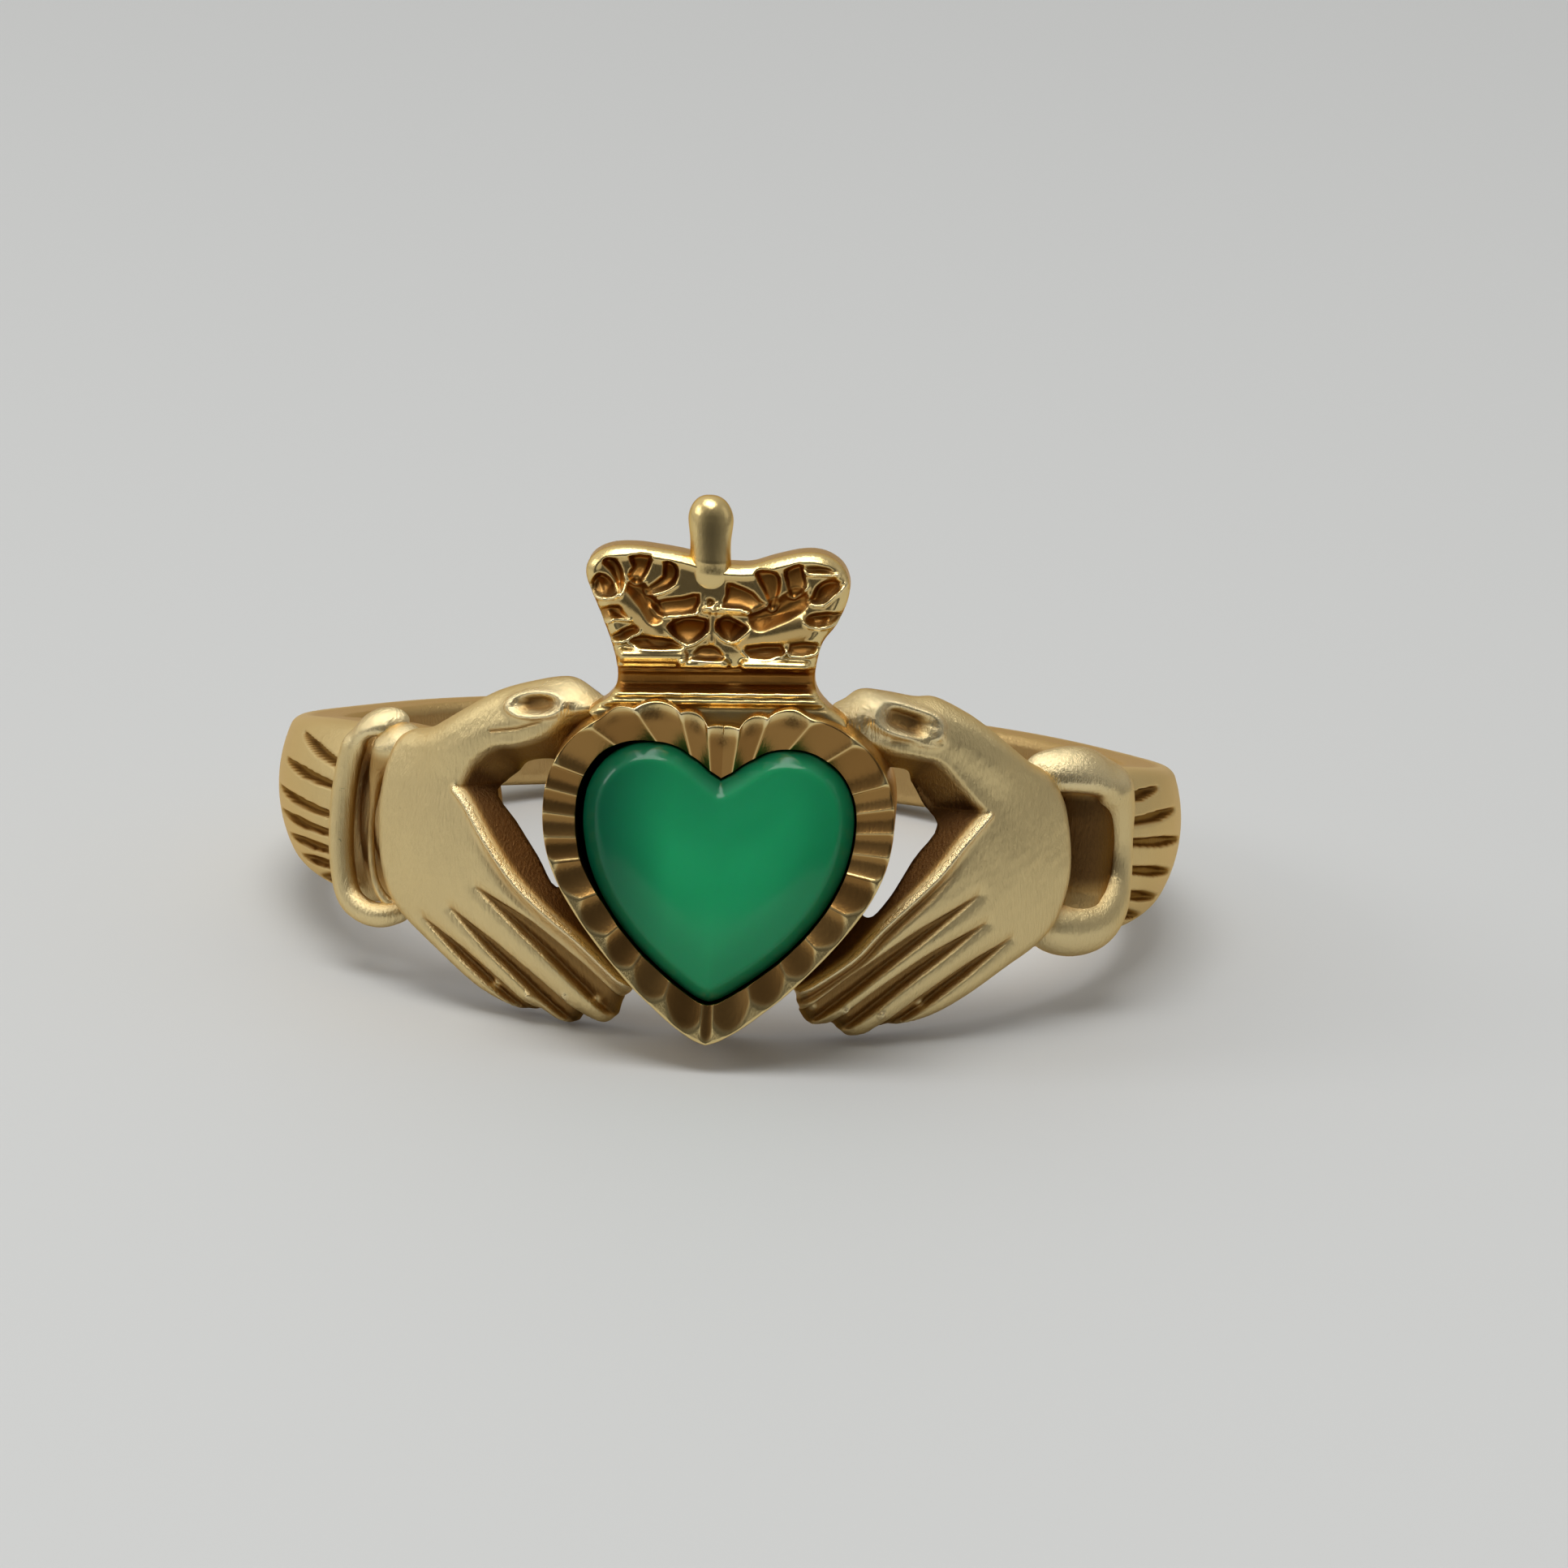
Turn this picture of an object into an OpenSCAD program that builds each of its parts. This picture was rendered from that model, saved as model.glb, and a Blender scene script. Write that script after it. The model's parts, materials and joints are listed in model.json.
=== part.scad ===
// Claddagh ring: two hands hold a heart-shaped green stone under a crown.
// The forms are placed round the finger axis, which is Z, with the heart facing -Y.
// The whole ring is then laid on its side, as it rests by itself. Sizes are in millimetres.

/* [Finger hole] */
// Diameter of the finger hole
finger_d = 17.2; // [15.5:0.1:20]

/* [Band] */
// Thickness of the band at the back
band_t = 1.1; // [0.9:0.05:1.4]
// Thickness of the band at the sides
shoulder_t = 1.45; // [1.3:0.05:2]
// Width of the band at the back
band_w = 2.0; // [1.6:0.1:2.6]
// Width of the shoulders where the cuffs begin
shoulder_w = 3.9; // [3.4:0.1:4.4]
// Radius of the domed outer face, across the band
band_dome_r = 3.2; // [2.8:0.1:6]
// Height above the finger's middle plane, towards the head, where the shoulders reach full width
shoulder_reach = 5.0; // [3:0.5:6]
// Height below it, towards the back, where the plain band begins
plain_reach = 4.5; // [2:0.5:6]

/* [Shoulder grooves] */
// Number of milled grooves on each shoulder
groove_count = 7; // [5:1:9]
// Width of a groove
groove_w = 0.24; // [0.15:0.01:0.35]
// Angle round the ring where the grooves begin, behind the cuff
groove_start = 57; // [56:1:60]
// Length of the middle groove, as an angle round the ring
groove_angle = 22; // [14:1:26]
// Width across all the grooves at the cuff
groove_near_w = 3.1; // [2.6:0.1:3.3]
// Width across all the grooves at their far ends
groove_far_w = 3.5; // [2.8:0.1:3.6]

/* [Cuffs] */
// Angle round the ring to the middle of the cuff's roll
cuff_angle = 51; // [50:0.5:53]
// Radius of the roll
cuff_roll_r = 0.47; // [0.4:0.01:0.55]
// Height of the cuff from end to end
cuff_h = 4.5; // [4:0.1:5]
// Radius of the bow that the roll makes round the wrist
cuff_bow_r = 2.75; // [2.5:0.05:4]
// How deep the middle of the roll lies below the band's outer face
cuff_sink = 0.08; // [0.04:0.02:0.3]
// How far the roll's ends turn in over the band's edges
cuff_turn = 0.8; // [0.4:0.1:1]
// Radius of the ball at each end of the roll
cuff_ball_r = 0.49; // [0.48:0.01:0.55]
// Radius of the ends that turn in
cuff_tail_r = 0.42; // [0.3:0.01:0.45]
// Thickness of the recessed collar between cuff and hand
collar_t = 1.2; // [1:0.05:1.4]
// Width of the collar
collar_w = 3.8; // [3.3:0.1:4.2]

/* [Hands] */
// Thickness of the back of the hand
hand_t = 1.75; // [1.5:0.05:2.1]
// Angle round the ring where the wrist begins
wrist_angle = 45.5; // [44:0.5:47]
// Drop of the fingertips below the middle plane
hand_drop = 3.85; // [3.4:0.05:4.2]
// Width of a finger
finger_w = 0.8; // [0.7:0.02:0.86]
// Width of the thumb
thumb_w = 1.24; // [1:0.02:1.4]
// Depth of the notch between thumb and finger
web_d = 0.75; // [0.4:0.05:1]
// Depth of the grooves between the fingers
finger_groove_d = 0.45; // [0.2:0.05:0.6]
// Width of those grooves at the fingertips
finger_groove_w = 0.34; // [0.2:0.02:0.42]
// Radius of the thumb's nail hollow
nail_r = 0.35; // [0.2:0.05:0.45]

/* [Stone] */
// Width of the heart stone
stone_w = 5.84; // [5.4:0.02:6.4]
// Depth of the cleft between the stone's two lobes
stone_cleft_d = 0.8; // [0.6:0.05:1]
// Height of the lobes' centres above the stone's tip
stone_tip_h = 4.05; // [3.8:0.05:4.5]
// How far the lobes turn in below their widest points before the flatter sides begin
stone_turn = 14; // [0:1:20]
// Height of the lobes' centres above the middle plane
stone_z = 1.07; // [0.8:0.01:1.3]
// Height of the stone from its base to its upright edge
stone_girdle_h = 1.3; // [1.1:0.05:1.5]
// Height of the slope between the upright edge and the domed top
stone_slope_h = 0.38; // [0.2:0.02:0.5]
// Height of the domed top
stone_dome_h = 0.25; // [0.1:0.05:0.5]
// Gap between the stone and its seat
stone_gap = 0.04; // [0.03:0.01:0.08]

/* [Bezel] */
// Thickness of metal behind the stone
seat_floor_t = 1.15; // [0.9:0.05:1.4]
// Width of the rim round the stone
rim_w = 0.77; // [0.6:0.01:0.9]
// Height of the rim's outer edge above the finger hole
rim_h = 2.8; // [2.6:0.05:3]
// Number of milled flutes on each half of the rim
flute_count = 13; // [9:1:16]
// Radius of the flute cutter
flute_r = 0.62; // [0.55:0.01:0.9]
// Depth of a flute at the rim's outer edge
flute_d = 0.08; // [0.04:0.01:0.2]
// Angle at which the flutes fall towards the stone
flute_fall = 20; // [10:1:28]

/* [Crown] */
// Width of the crown across its lobes
crown_w = 5.5; // [5:0.1:6]
// Height of the crown from its foot to the top of its lobes
crown_h = 3.6; // [3.2:0.05:4]
// Sideways offset of the crown from the heart's middle
crown_offset = -0.2; // [-0.3:0.05:0.3]
// Angle at which the crown leans to the left
crown_lean = 3; // [-4:0.5:4]
// Thickness of the crown
crown_t = 1.4; // [1.1:0.05:1.7]
// Height of the crown's front above the finger hole
crown_front_h = 2.1; // [1.8:0.05:2.3]
// How far the crown's foot reaches into the bezel
crown_root = 0.2; // [0.1:0.05:0.5]
// Radius of the crown's lobes
crown_lobe_r = 1.0; // [0.8:0.05:1.2]
// Depth of the petal pits in the crown
petal_d = 0.3; // [0.15:0.05:0.4]
// Radius of the largest petal pits
petal_r = 0.28; // [0.2:0.01:0.3]
// Radius of the ridges across the crown's foot
ridge_r = 0.17; // [0.12:0.01:0.2]
// Diameter of the finial's knob
finial_d = 0.95; // [0.7:0.05:1.2]
// Diameter of the finial's stem
finial_stem_d = 0.8; // [0.6:0.05:0.9]
// How deep the stem runs into the crown
finial_root = 0.6; // [0.4:0.05:1]
// Height of the finial above the lobes
finial_h = 0.98; // [0.6:0.02:1.3]
// Sideways offset of the finial from the crown's middle
finial_offset = -0.3; // [-0.4:0.05:0.4]

/* [Hidden] */
$fn = 64;

// Radii from the finger axis
finger_r = finger_d / 2;
outer_r = finger_r + shoulder_t;
// The outer face is a circle set forward, so the band is thinner at the back than at the sides
outer_shift = shoulder_t - band_t;
collar_r = finger_r + collar_t;
hand_r = finger_r + hand_t;
seat_r = finger_r + seat_floor_t;
rim_r = finger_r + rim_h;
crown_r = finger_r + crown_front_h;
// Longer than the ring in any direction, for cutters
far = 3 * outer_r;
// How far a cutter runs past the edge that it cuts
overrun = 0.3;

// Heart outline: each half is a lobe arc that runs smoothly into a side arc down to the tip
stone_lobe_r = stone_w / 2 + stone_cleft_d - sqrt(stone_w * stone_cleft_d);
lobe_x = stone_w / 2 - stone_lobe_r;
arc_gap = (pow(lobe_x, 2) + pow(stone_tip_h, 2) - pow(stone_lobe_r, 2))
    / (2 * (stone_lobe_r + lobe_x * cos(stone_turn) - stone_tip_h * sin(stone_turn)));
side_r = stone_lobe_r + arc_gap;
side_x = arc_gap * cos(stone_turn) - lobe_x;
side_z = stone_z + arc_gap * sin(stone_turn);
arc_steps = 9;
function tip_angle(d) = acos(side_x / (side_r + d));
function cleft_angle(d) = 180 - acos(lobe_x / (stone_lobe_r + d));
function side_angle(d, share) = -tip_angle(d) + (tip_angle(d) - stone_turn) * share;
function lobe_angle(d, share) = -stone_turn + (cleft_angle(d) + stone_turn) * share;
function side_point(d, a) = [(side_r + d) * cos(a) - side_x, side_z + (side_r + d) * sin(a)];
function lobe_point(d, a) = [(stone_lobe_r + d) * cos(a) + lobe_x, stone_z + (stone_lobe_r + d) * sin(a)];
function half_heart(d) = concat(
    [for (i = [0:arc_steps - 1]) side_point(d, side_angle(d, i / arc_steps))],
    [for (i = [0:arc_steps]) lobe_point(d, lobe_angle(d, i / arc_steps))]);
function heart(d) = let (h = half_heart(d), n = len(h))
    concat(h, [for (i = [n - 2:-1:1]) [-h[i][0], h[i][1]]]);
// Flute places along one half: [x, z, direction of the outline's normal]
function side_length(d) = (side_r + d) * (tip_angle(d) - stone_turn) * PI / 180;
function lobe_length(d) = (stone_lobe_r + d) * (cleft_angle(d) + stone_turn) * PI / 180;
function flute_place(d, share) =
    let (s = share * (side_length(d) + lobe_length(d)),
         on_side = s < side_length(d),
         a = on_side ? side_angle(d, s / side_length(d))
                     : lobe_angle(d, (s - side_length(d)) / lobe_length(d)),
         p = on_side ? side_point(d, a) : lobe_point(d, a))
    [p[0], p[1], a];

// Stone rings above the upright edge: [share of the outline, share of the slope, share of the dome]
stone_rings = [[0.90, 1, 0], [0.70, 1, 0.55], [0.40, 1, 0.90]];
// The rings shrink towards a point a fifth of the way from the lobes' centres down to the tip
stone_centre = [0, stone_z - stone_tip_h / 5];

// Hand places are shares of the hand's reach sideways and of its drop
hand_reach = hand_r * sin(wrist_angle);
function on_hand(p) = [p[0] * hand_reach, p[1] * hand_drop];
function on_back(p) = let (q = on_hand(p)) [q[0], -sqrt(pow(hand_r, 2) - pow(norm(q), 2)), q[1]];
wrist = [[1, 0.53], [1, -0.50]];
under_bezel = [[0.15, -0.55], [0.15, 0.55]];
// Thumb joints from tip to root: [place, share of the thumb's width, arc from, arc to, steps]
thumb = [
    [[0.42, 0.81], 0.8, 190, 100, 4],
    [[0.64, 0.74], 1, 95, 62, 2],
    [[0.84, 0.43], 1, 60, 45, 1]];
// Fingers: [root place, tip place, share of a finger's width]
fingers = [
    [[0.70, -0.06], [0.29, -0.76], 1],
    [[0.73, -0.32], [0.38, -0.88], 1],
    [[0.80, -0.42], [0.50, -0.905], 0.9],
    [[0.86, -0.50], [0.64, -0.87], 0.82]];
fingertip_arc = [285, 175];
function arc(place, r, from, to, n) = let (c = on_hand(place))
    [for (i = [0:n]) let (a = from + (to - from) * i / n) c + r * [cos(a), sin(a)]];
// Outline of the hand from the wrist round the four fingertips, under the bezel and back along the thumb
hand_outline = concat(
    [on_hand(wrist[1])],
    [for (i = [3:-1:0]) let (f = fingers[i])
        each arc(f[1], f[2] * finger_w / 2, fingertip_arc[0], fingertip_arc[1], 5)],
    [for (p = under_bezel) on_hand(p)],
    [for (t = thumb) each arc(t[0], t[1] * thumb_w / 2, t[2], t[3], t[4])],
    [on_hand(wrist[0])]);
// Outline of the notch between thumb and finger, down to its lower floor
web = [[0.79, 0.27], [0.75, 0.43], [0.69, 0.53], [0.60, 0.59], [0.52, 0.65], [0.44, 0.72],
       [0.20, 0.60], [0.10, -0.40], [0.23, -0.76], [0.41, -0.52], [0.58, -0.21]];
// Outline of the part of it that is open right through
gap = [[0.62, 0.22], [0.59, 0.36], [0.54, 0.46], [0.50, 0.50], [0.40, 0.46], [0.40, -0.19], [0.47, -0.19]];
nail = [0.54, 0.77];

// Crown places are shares of its half width and of its height
crown_z = stone_z + stone_lobe_r + rim_w - crown_root;
function on_crown(p) = [p[0] * crown_w / 2, p[1] * crown_h];
crown_side = [
    [0.84, -0.12], [0.75, 0.03], [0.75, 0.26], [0.84, 0.43], [0.97, 0.62], [0.64, 0.99], [0.10, 0.91]];
// Heights of the ridges as shares of the crown's height
crown_ridges = [0.05, 0.15, 0.27];
// Petal pits on the right half, each repeated on the left: [place, share of the largest pit's radius]
petals = [
    [[0.20, 0.70], 0.93], [[0.36, 0.80], 1], [[0.57, 0.84], 1], [[0.80, 0.78], 1],
    [[0.80, 0.59], 1], [[0.69, 0.41], 0.86], [[0.40, 0.38], 0.86], [[0.16, 0.50], 1]];

// Resting pose: the ring leans back until its fingertips and the back of its band touch the surface
back_r = finger_r + band_t;
function dome_drop(z) = band_dome_r - sqrt(pow(band_dome_r, 2) - pow(z, 2));
rest_finger = fingers[2];
rest_tip = on_hand(rest_finger[1]);
rest_drop = rest_finger[2] * finger_w / 2 - rest_tip[1];
rest_front_y = -sqrt(pow(finger_r, 2) - pow(rest_tip[0], 2));
rest_back_y = back_r - dome_drop(band_w / 2);
tilt = atan((rest_drop - band_w / 2) / (rest_back_y - rest_front_y));
lift = rest_back_y * sin(tilt) + band_w / 2 * cos(tilt);
heart_tip_drop = (side_r + rim_w) * sin(tip_angle(rim_w)) - side_z;
front_y = -rim_r * cos(tilt) - heart_tip_drop * sin(tilt);
back_y = (back_r - band_dome_r) * cos(tilt) + band_dome_r;

module at_rest() translate([0, -(front_y + back_y) / 2, lift]) rotate([-tilt, 0, 0]) children();
// Turns a flat outline, drawn as seen from the front, into a bar that runs from the axis to the front
module from_front(depth) rotate([90, 0, 0]) linear_extrude(depth) children();
module both_sides() for (s = [0, 1]) mirror([s, 0, 0]) children();

// A disc with a domed outer face, outer_face mm from the axis at its widest
module domed_disc(outer_face, h) rotate_extrude($fn = 128) intersection() {
    translate([0, -h / 2]) square([outer_face, h]);
    translate([outer_face - band_dome_r, 0]) circle(band_dome_r);
}

// Half width of the band at a share of the way from the full shoulder to the plain back
function band_half_w(share) = band_w / 2 + (shoulder_w - band_w) / 4 * (1 + cos(180 * share));
band_steps = 8;
cuff_start_y = outer_r * cos(cuff_angle);
module band_side() {
    taper = [for (i = [0:band_steps])
        [-shoulder_reach + (shoulder_reach + plain_reach) * i / band_steps, band_half_w(i / band_steps)]];
    edge = concat([[-cuff_start_y, shoulder_w / 2]], taper, [[far, band_w / 2]]);
    polygon(concat(edge, [for (i = [len(edge) - 1:-1:0]) [edge[i][0], -edge[i][1]]]));
}

module band() intersection() {
    translate([0, -outer_shift, 0]) domed_disc(outer_r, shoulder_w + 2 * overrun);
    rotate([90, 0, 90]) linear_extrude(far, center = true) band_side();
}

// Point on the band's outer face at an angle from the front and a height from the middle plane
function face_r(a) = outer_r + outer_shift * cos(a);
function on_face(a, z) = let (r = face_r(a) - dome_drop(z)) [r * sin(a), -r * cos(a), z];

// A straight cut between two points of the curved face, so it runs out at both ends
module groove(p, q) {
    v = q - p;
    translate(p) rotate([0, acos(v[2] / norm(v)), atan2(v[1], v[0])])
        cylinder(r = groove_w / 2, h = norm(v), $fn = 24);
}

// The grooves fan out from the cuff and are longest in the middle
module shoulder_grooves() both_sides() for (i = [0:groove_count - 1]) {
    share = 2 * i / (groove_count - 1) - 1;
    reach = groove_start + groove_angle * (1 - share * share / 2);
    groove(on_face(groove_start, share * groove_near_w / 2), on_face(reach, share * groove_far_w / 2));
}

// Collar: the recessed wrist between the cuff and the hand, which laps under both of them
collar_lap = [6, 2];
module collar() intersection() {
    domed_disc(collar_r, collar_w);
    both_sides() linear_extrude(far, center = true)
        sector(wrist_angle - collar_lap[0], cuff_angle + collar_lap[1]);
}
module sector(a, b) polygon([[0, 0], far * [sin(a), -cos(a)], far * [sin(b), -cos(b)]]);

// Cuff: a roll of metal bowed round the wrist, its ends turned in over the band's edges
module cuff() {
    bow_y = sqrt(pow(face_r(cuff_angle) - cuff_sink, 2) - pow(cuff_bow_r, 2));
    half_angle = asin((cuff_h / 2 - cuff_roll_r) / cuff_bow_r);
    rotate([0, 0, cuff_angle - atan(cuff_bow_r / bow_y)]) translate([0, -bow_y, 0]) rotate([90, 0, 0]) {
        rotate([0, 0, -half_angle]) rotate_extrude(angle = 2 * half_angle)
            translate([cuff_bow_r, 0]) circle(cuff_roll_r, $fn = 32);
        for (s = [-1, 1]) rotate([0, 0, s * half_angle]) translate([cuff_bow_r, 0, 0]) {
            sphere(cuff_ball_r, $fn = 32);
            mirror([0, 0, 1]) cylinder(r = cuff_tail_r, h = cuff_turn, $fn = 32);
        }
    }
}

// Wedge-shaped groove between two neighbouring fingers, which runs out past their tips
module finger_groove(a, b) {
    root = (on_hand(a[0]) + on_hand(b[0])) / 2;
    tip = (on_hand(a[1]) + on_hand(b[1])) / 2;
    v = (tip - root) / norm(tip - root);
    side = finger_groove_w / 2 * [-v[1], v[0]];
    end = tip + finger_w * v;
    polygon([root - overrun * v, end + side, end - side]);
}
// Cuts an outline into the back of the hand, to the same depth all over
module relief(depth) difference() {
    from_front(far) children();
    sphere(hand_r - depth, $fn = 128);
}
module hand() difference() {
    intersection() {
        sphere(hand_r, $fn = 128);
        from_front(far) polygon(hand_outline);
    }
    from_front(far) polygon([for (p = gap) on_hand(p)]);
    relief(web_d) polygon([for (p = web) on_hand(p)]);
    for (i = [0:len(fingers) - 2]) relief(finger_groove_d) finger_groove(fingers[i], fingers[i + 1]);
    translate(on_back(nail)) sphere(nail_r, $fn = 32);
}

// Bezel: a heart-shaped wall whose rim is milled in scoops that fall towards the stone
module bezel() difference() {
    from_front(rim_r) polygon(heart(rim_w));
    both_sides() for (i = [0:flute_count - 1]) flute(flute_place(rim_w / 2, (i + 0.5) / flute_count));
    translate([0, -seat_r, 0]) from_front(far) polygon(heart(stone_gap));
}
module flute(place) translate([place[0], -rim_r, place[1]]) rotate([0, -place[2], 0])
    translate([rim_w / 2, 0, 0]) rotate([0, 0, -flute_fall]) translate([overrun, flute_d - flute_r, 0])
        rotate([0, -90, 0]) cylinder(r = flute_r, h = rim_w / cos(flute_fall) + 2 * overrun, $fn = 48);

module crown_outline() {
    half = [for (p = crown_side) on_crown(p)];
    polygon(concat(half, [for (i = [len(half) - 1:-1:0]) [-half[i][0], half[i][1]]]));
    for (s = [-1, 1]) translate([s * (crown_w / 2 - crown_lobe_r), crown_h - crown_lobe_r])
        circle(crown_lobe_r);
}
module crown() translate([crown_offset, -crown_r, crown_z]) rotate([0, -crown_lean, 0]) {
    difference() {
        translate([0, crown_t, 0]) from_front(crown_t) crown_outline();
        for (s = [-1, 1]) for (p = petals) {
            c = on_crown(p[0]);
            r = p[1] * petal_r;
            translate([s * c[0], petal_d - r, c[1]]) sphere(r, $fn = 24);
        }
    }
    ridge_l = 2 * on_crown(crown_side[1])[0];
    for (z = crown_ridges) translate([-ridge_l / 2, 0, z * crown_h])
        rotate([0, 90, 0]) cylinder(r = ridge_r, h = ridge_l, $fn = 24);
    knob_z = finial_h - finial_d / 2;
    translate([finial_offset, crown_t / 2, crown_h]) {
        translate([0, 0, -finial_root]) cylinder(d = finial_stem_d, h = finial_root + knob_z, $fn = 32);
        translate([0, 0, knob_z]) sphere(d = finial_d, $fn = 32);
    }
}

module gold_ring() color([0.78, 0.66, 0.40]) at_rest() difference() {
    union() {
        band();
        both_sides() {
            cuff();
            hand();
        }
        collar();
        bezel();
        crown();
    }
    shoulder_grooves();
    cylinder(r = finger_r, h = far, center = true);
}

// Stone: upright edge, a slope round it, and a gently domed top
module heart_stone() color([0.10, 0.50, 0.31]) at_rest() {
    base = seat_r + stone_gap;
    outline = heart(0);
    n = len(outline);
    slope_at = base + stone_girdle_h;
    rings = concat([[1, base], [1, slope_at]],
        [for (r = stone_rings) [r[0], slope_at + stone_slope_h * r[1] + stone_dome_h * r[2]]]);
    points = concat([for (r = rings) for (p = outline)
        let (q = stone_centre + r[0] * (p - stone_centre)) [q[0], -r[1], q[1]]],
        [[stone_centre[0], -(slope_at + stone_slope_h + stone_dome_h), stone_centre[1]]]);
    last = len(rings) - 1;
    bottom = [[for (i = [n - 1:-1:0]) i]];
    sides = [for (k = [0:last - 1]) for (i = [0:n - 1])
        let (j = (i + 1) % n, a = k * n, b = a + n) [a + i, a + j, b + j, b + i]];
    top = [for (i = [0:n - 1]) [last * n + i, last * n + (i + 1) % n, (last + 1) * n]];
    polyhedron(points, concat(bottom, sides, top));
}

gold_ring();
heart_stone();
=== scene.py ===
# %% [markdown]
# This lesson dresses a gold claddagh ring: two cuffed hands hold a green heart under a crown.
# The CAD model fixes every size and place, so the first step is to load it.
# The finished ring may not outgrow it.

# %% Load the fixed frame
import json
import math

import bmesh
import bpy
import numpy as np
from mathutils import Matrix, Vector


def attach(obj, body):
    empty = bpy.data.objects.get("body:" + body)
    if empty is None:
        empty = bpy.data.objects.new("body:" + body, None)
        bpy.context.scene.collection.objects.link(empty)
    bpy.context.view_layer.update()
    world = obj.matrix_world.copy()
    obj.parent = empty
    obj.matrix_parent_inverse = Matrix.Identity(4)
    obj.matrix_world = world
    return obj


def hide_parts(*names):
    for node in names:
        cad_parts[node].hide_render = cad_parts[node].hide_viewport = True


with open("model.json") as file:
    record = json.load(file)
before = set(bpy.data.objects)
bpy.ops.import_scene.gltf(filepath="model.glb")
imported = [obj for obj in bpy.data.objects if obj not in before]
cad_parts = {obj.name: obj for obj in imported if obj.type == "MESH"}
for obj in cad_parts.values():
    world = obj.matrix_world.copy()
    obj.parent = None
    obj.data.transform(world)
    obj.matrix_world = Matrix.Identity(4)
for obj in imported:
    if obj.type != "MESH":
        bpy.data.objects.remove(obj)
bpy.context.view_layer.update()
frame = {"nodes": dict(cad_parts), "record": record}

print("CAD nodes:", sorted(frame["nodes"]))

# %% [markdown]
# A ring is easiest to shape round its own finger axis, in millimetres, with the heart towards -Y.
# The CAD record states the finger bore, so the bore gives the finger's radius and the way home:
# every mesh is finished in ring millimetres and then laid down by this one matrix.

# %% Sizes that the whole ring shares
bore = next(m for m in frame["record"]["mounts"] if m["name"] == "finger_bore")
finger_r = bore["dims"]["r_mm"]
bore_axis = Vector(bore["axis"])
tilt = math.atan2(bore_axis.y, bore_axis.z)
lay_down = (Matrix.Translation(bore["pos_m"]) @ Matrix.Rotation(-tilt, 4, "X")
            @ Matrix.Scale(0.001, 4))

hand_back_r = finger_r + 1.75
collar_r = finger_r + 1.2
band_centre_y = -0.35
band_outer_r = finger_r + 1.45
band_dome_r = 3.2
rim_front = finger_r + 2.8
crown_front = finger_r + 2.1
crown_back = crown_front - 1.4
stone_seat = finger_r + 1.15
print(f"finger radius {finger_r} mm, leaning back {math.degrees(tilt):.2f} degrees")

# %% [markdown]
# The hands and the crown are low relief: a flat sheet is trimmed to an outline, given a back and
# walls by one extrusion, and its front is then pushed to a height worked out from distances to a
# few given lines. A sculptor does the same with a scriber and a few punches.
# These helpers measure those distances for all vertices at once, which keeps the script quick.


# %% Measure distances to lines and outlines
def round_finger(angle, r, z):
    """Places from an angle off the front in radians, a distance from the axis and a height."""
    return np.stack([r * np.sin(angle), -r * np.cos(angle), z], axis=1)


def unit(vectors):
    return vectors / np.linalg.norm(vectors, axis=1)[:, None]


def smooth_line(points, closed=False, steps=5):
    """A curve that passes smoothly through the given points."""
    p = np.array(points, float)
    count = len(p) if closed else len(p) - 1
    made = []
    for i in range(count):
        if closed:
            a, b, c, d = (p[(i + k - 1) % len(p)] for k in range(4))
        else:
            a, b, c, d = (p[min(max(i + k - 1, 0), len(p) - 1)] for k in range(4))
        for s in range(steps):
            t = s / steps
            made.append(0.5 * (2 * b + (c - a) * t + (2 * a - 5 * b + 4 * c - d) * t ** 2
                               + (3 * b - a - 3 * c + d) * t ** 3))
    return np.array(made if closed else made + [p[-1]])


def along(line, at):
    """Distance to a line, and the share of its length at the nearest place."""
    near = np.full(len(at), 1e9)
    share = np.zeros(len(at))
    lengths = np.hypot(*(line[1:] - line[:-1]).T)
    start = 0.0
    for a, b, length in zip(line[:-1], line[1:], lengths):
        step = (b - a) / length
        t = np.clip((at - a) @ step, 0, length)
        gap = np.hypot(*(at - a - t[:, None] * step).T)
        closer = gap < near
        near[closer] = gap[closer]
        share[closer] = (start + t[closer]) / lengths.sum()
        start += length
    return near, share


def depth_in(outline, at):
    """Distance to a closed outline, positive inside it and negative outside."""
    near, _ = along(np.vstack([outline, outline[:1]]), at)
    inside = np.zeros(len(at), bool)
    for a, b in zip(outline, np.roll(outline, -1, axis=0)):
        if a[1] != b[1]:
            spans = (a[1] > at[:, 1]) != (b[1] > at[:, 1])
            crossing = a[0] + (at[:, 1] - a[1]) / (b[1] - a[1]) * (b[0] - a[0])
            inside ^= spans & (at[:, 0] < crossing)
    return np.where(inside, near, -near)


def ease(x, low=0.0, high=1.0):
    """Rises smoothly from 0 at low to 1 at high."""
    t = np.clip((x - low) / (high - low), 0, 1)
    return t * t * (3 - 2 * t)


def round_edge(inside, radius):
    """How far a rounded edge falls away, from the distance inside it."""
    reach = radius - np.clip(inside, 0, radius)
    return radius - np.sqrt(radius ** 2 - reach ** 2)


def table(rows, values):
    """Reads a value between the rows of a short table of (share, value)."""
    shares, numbers = zip(*rows)
    return np.interp(values, shares, numbers)


# %% [markdown]
# Real surfaces are never perfectly even, so each relief also gets a little slow waviness.
# A sum of a few sine waves is enough, repeats exactly on each run, and needs no texture.


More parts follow.
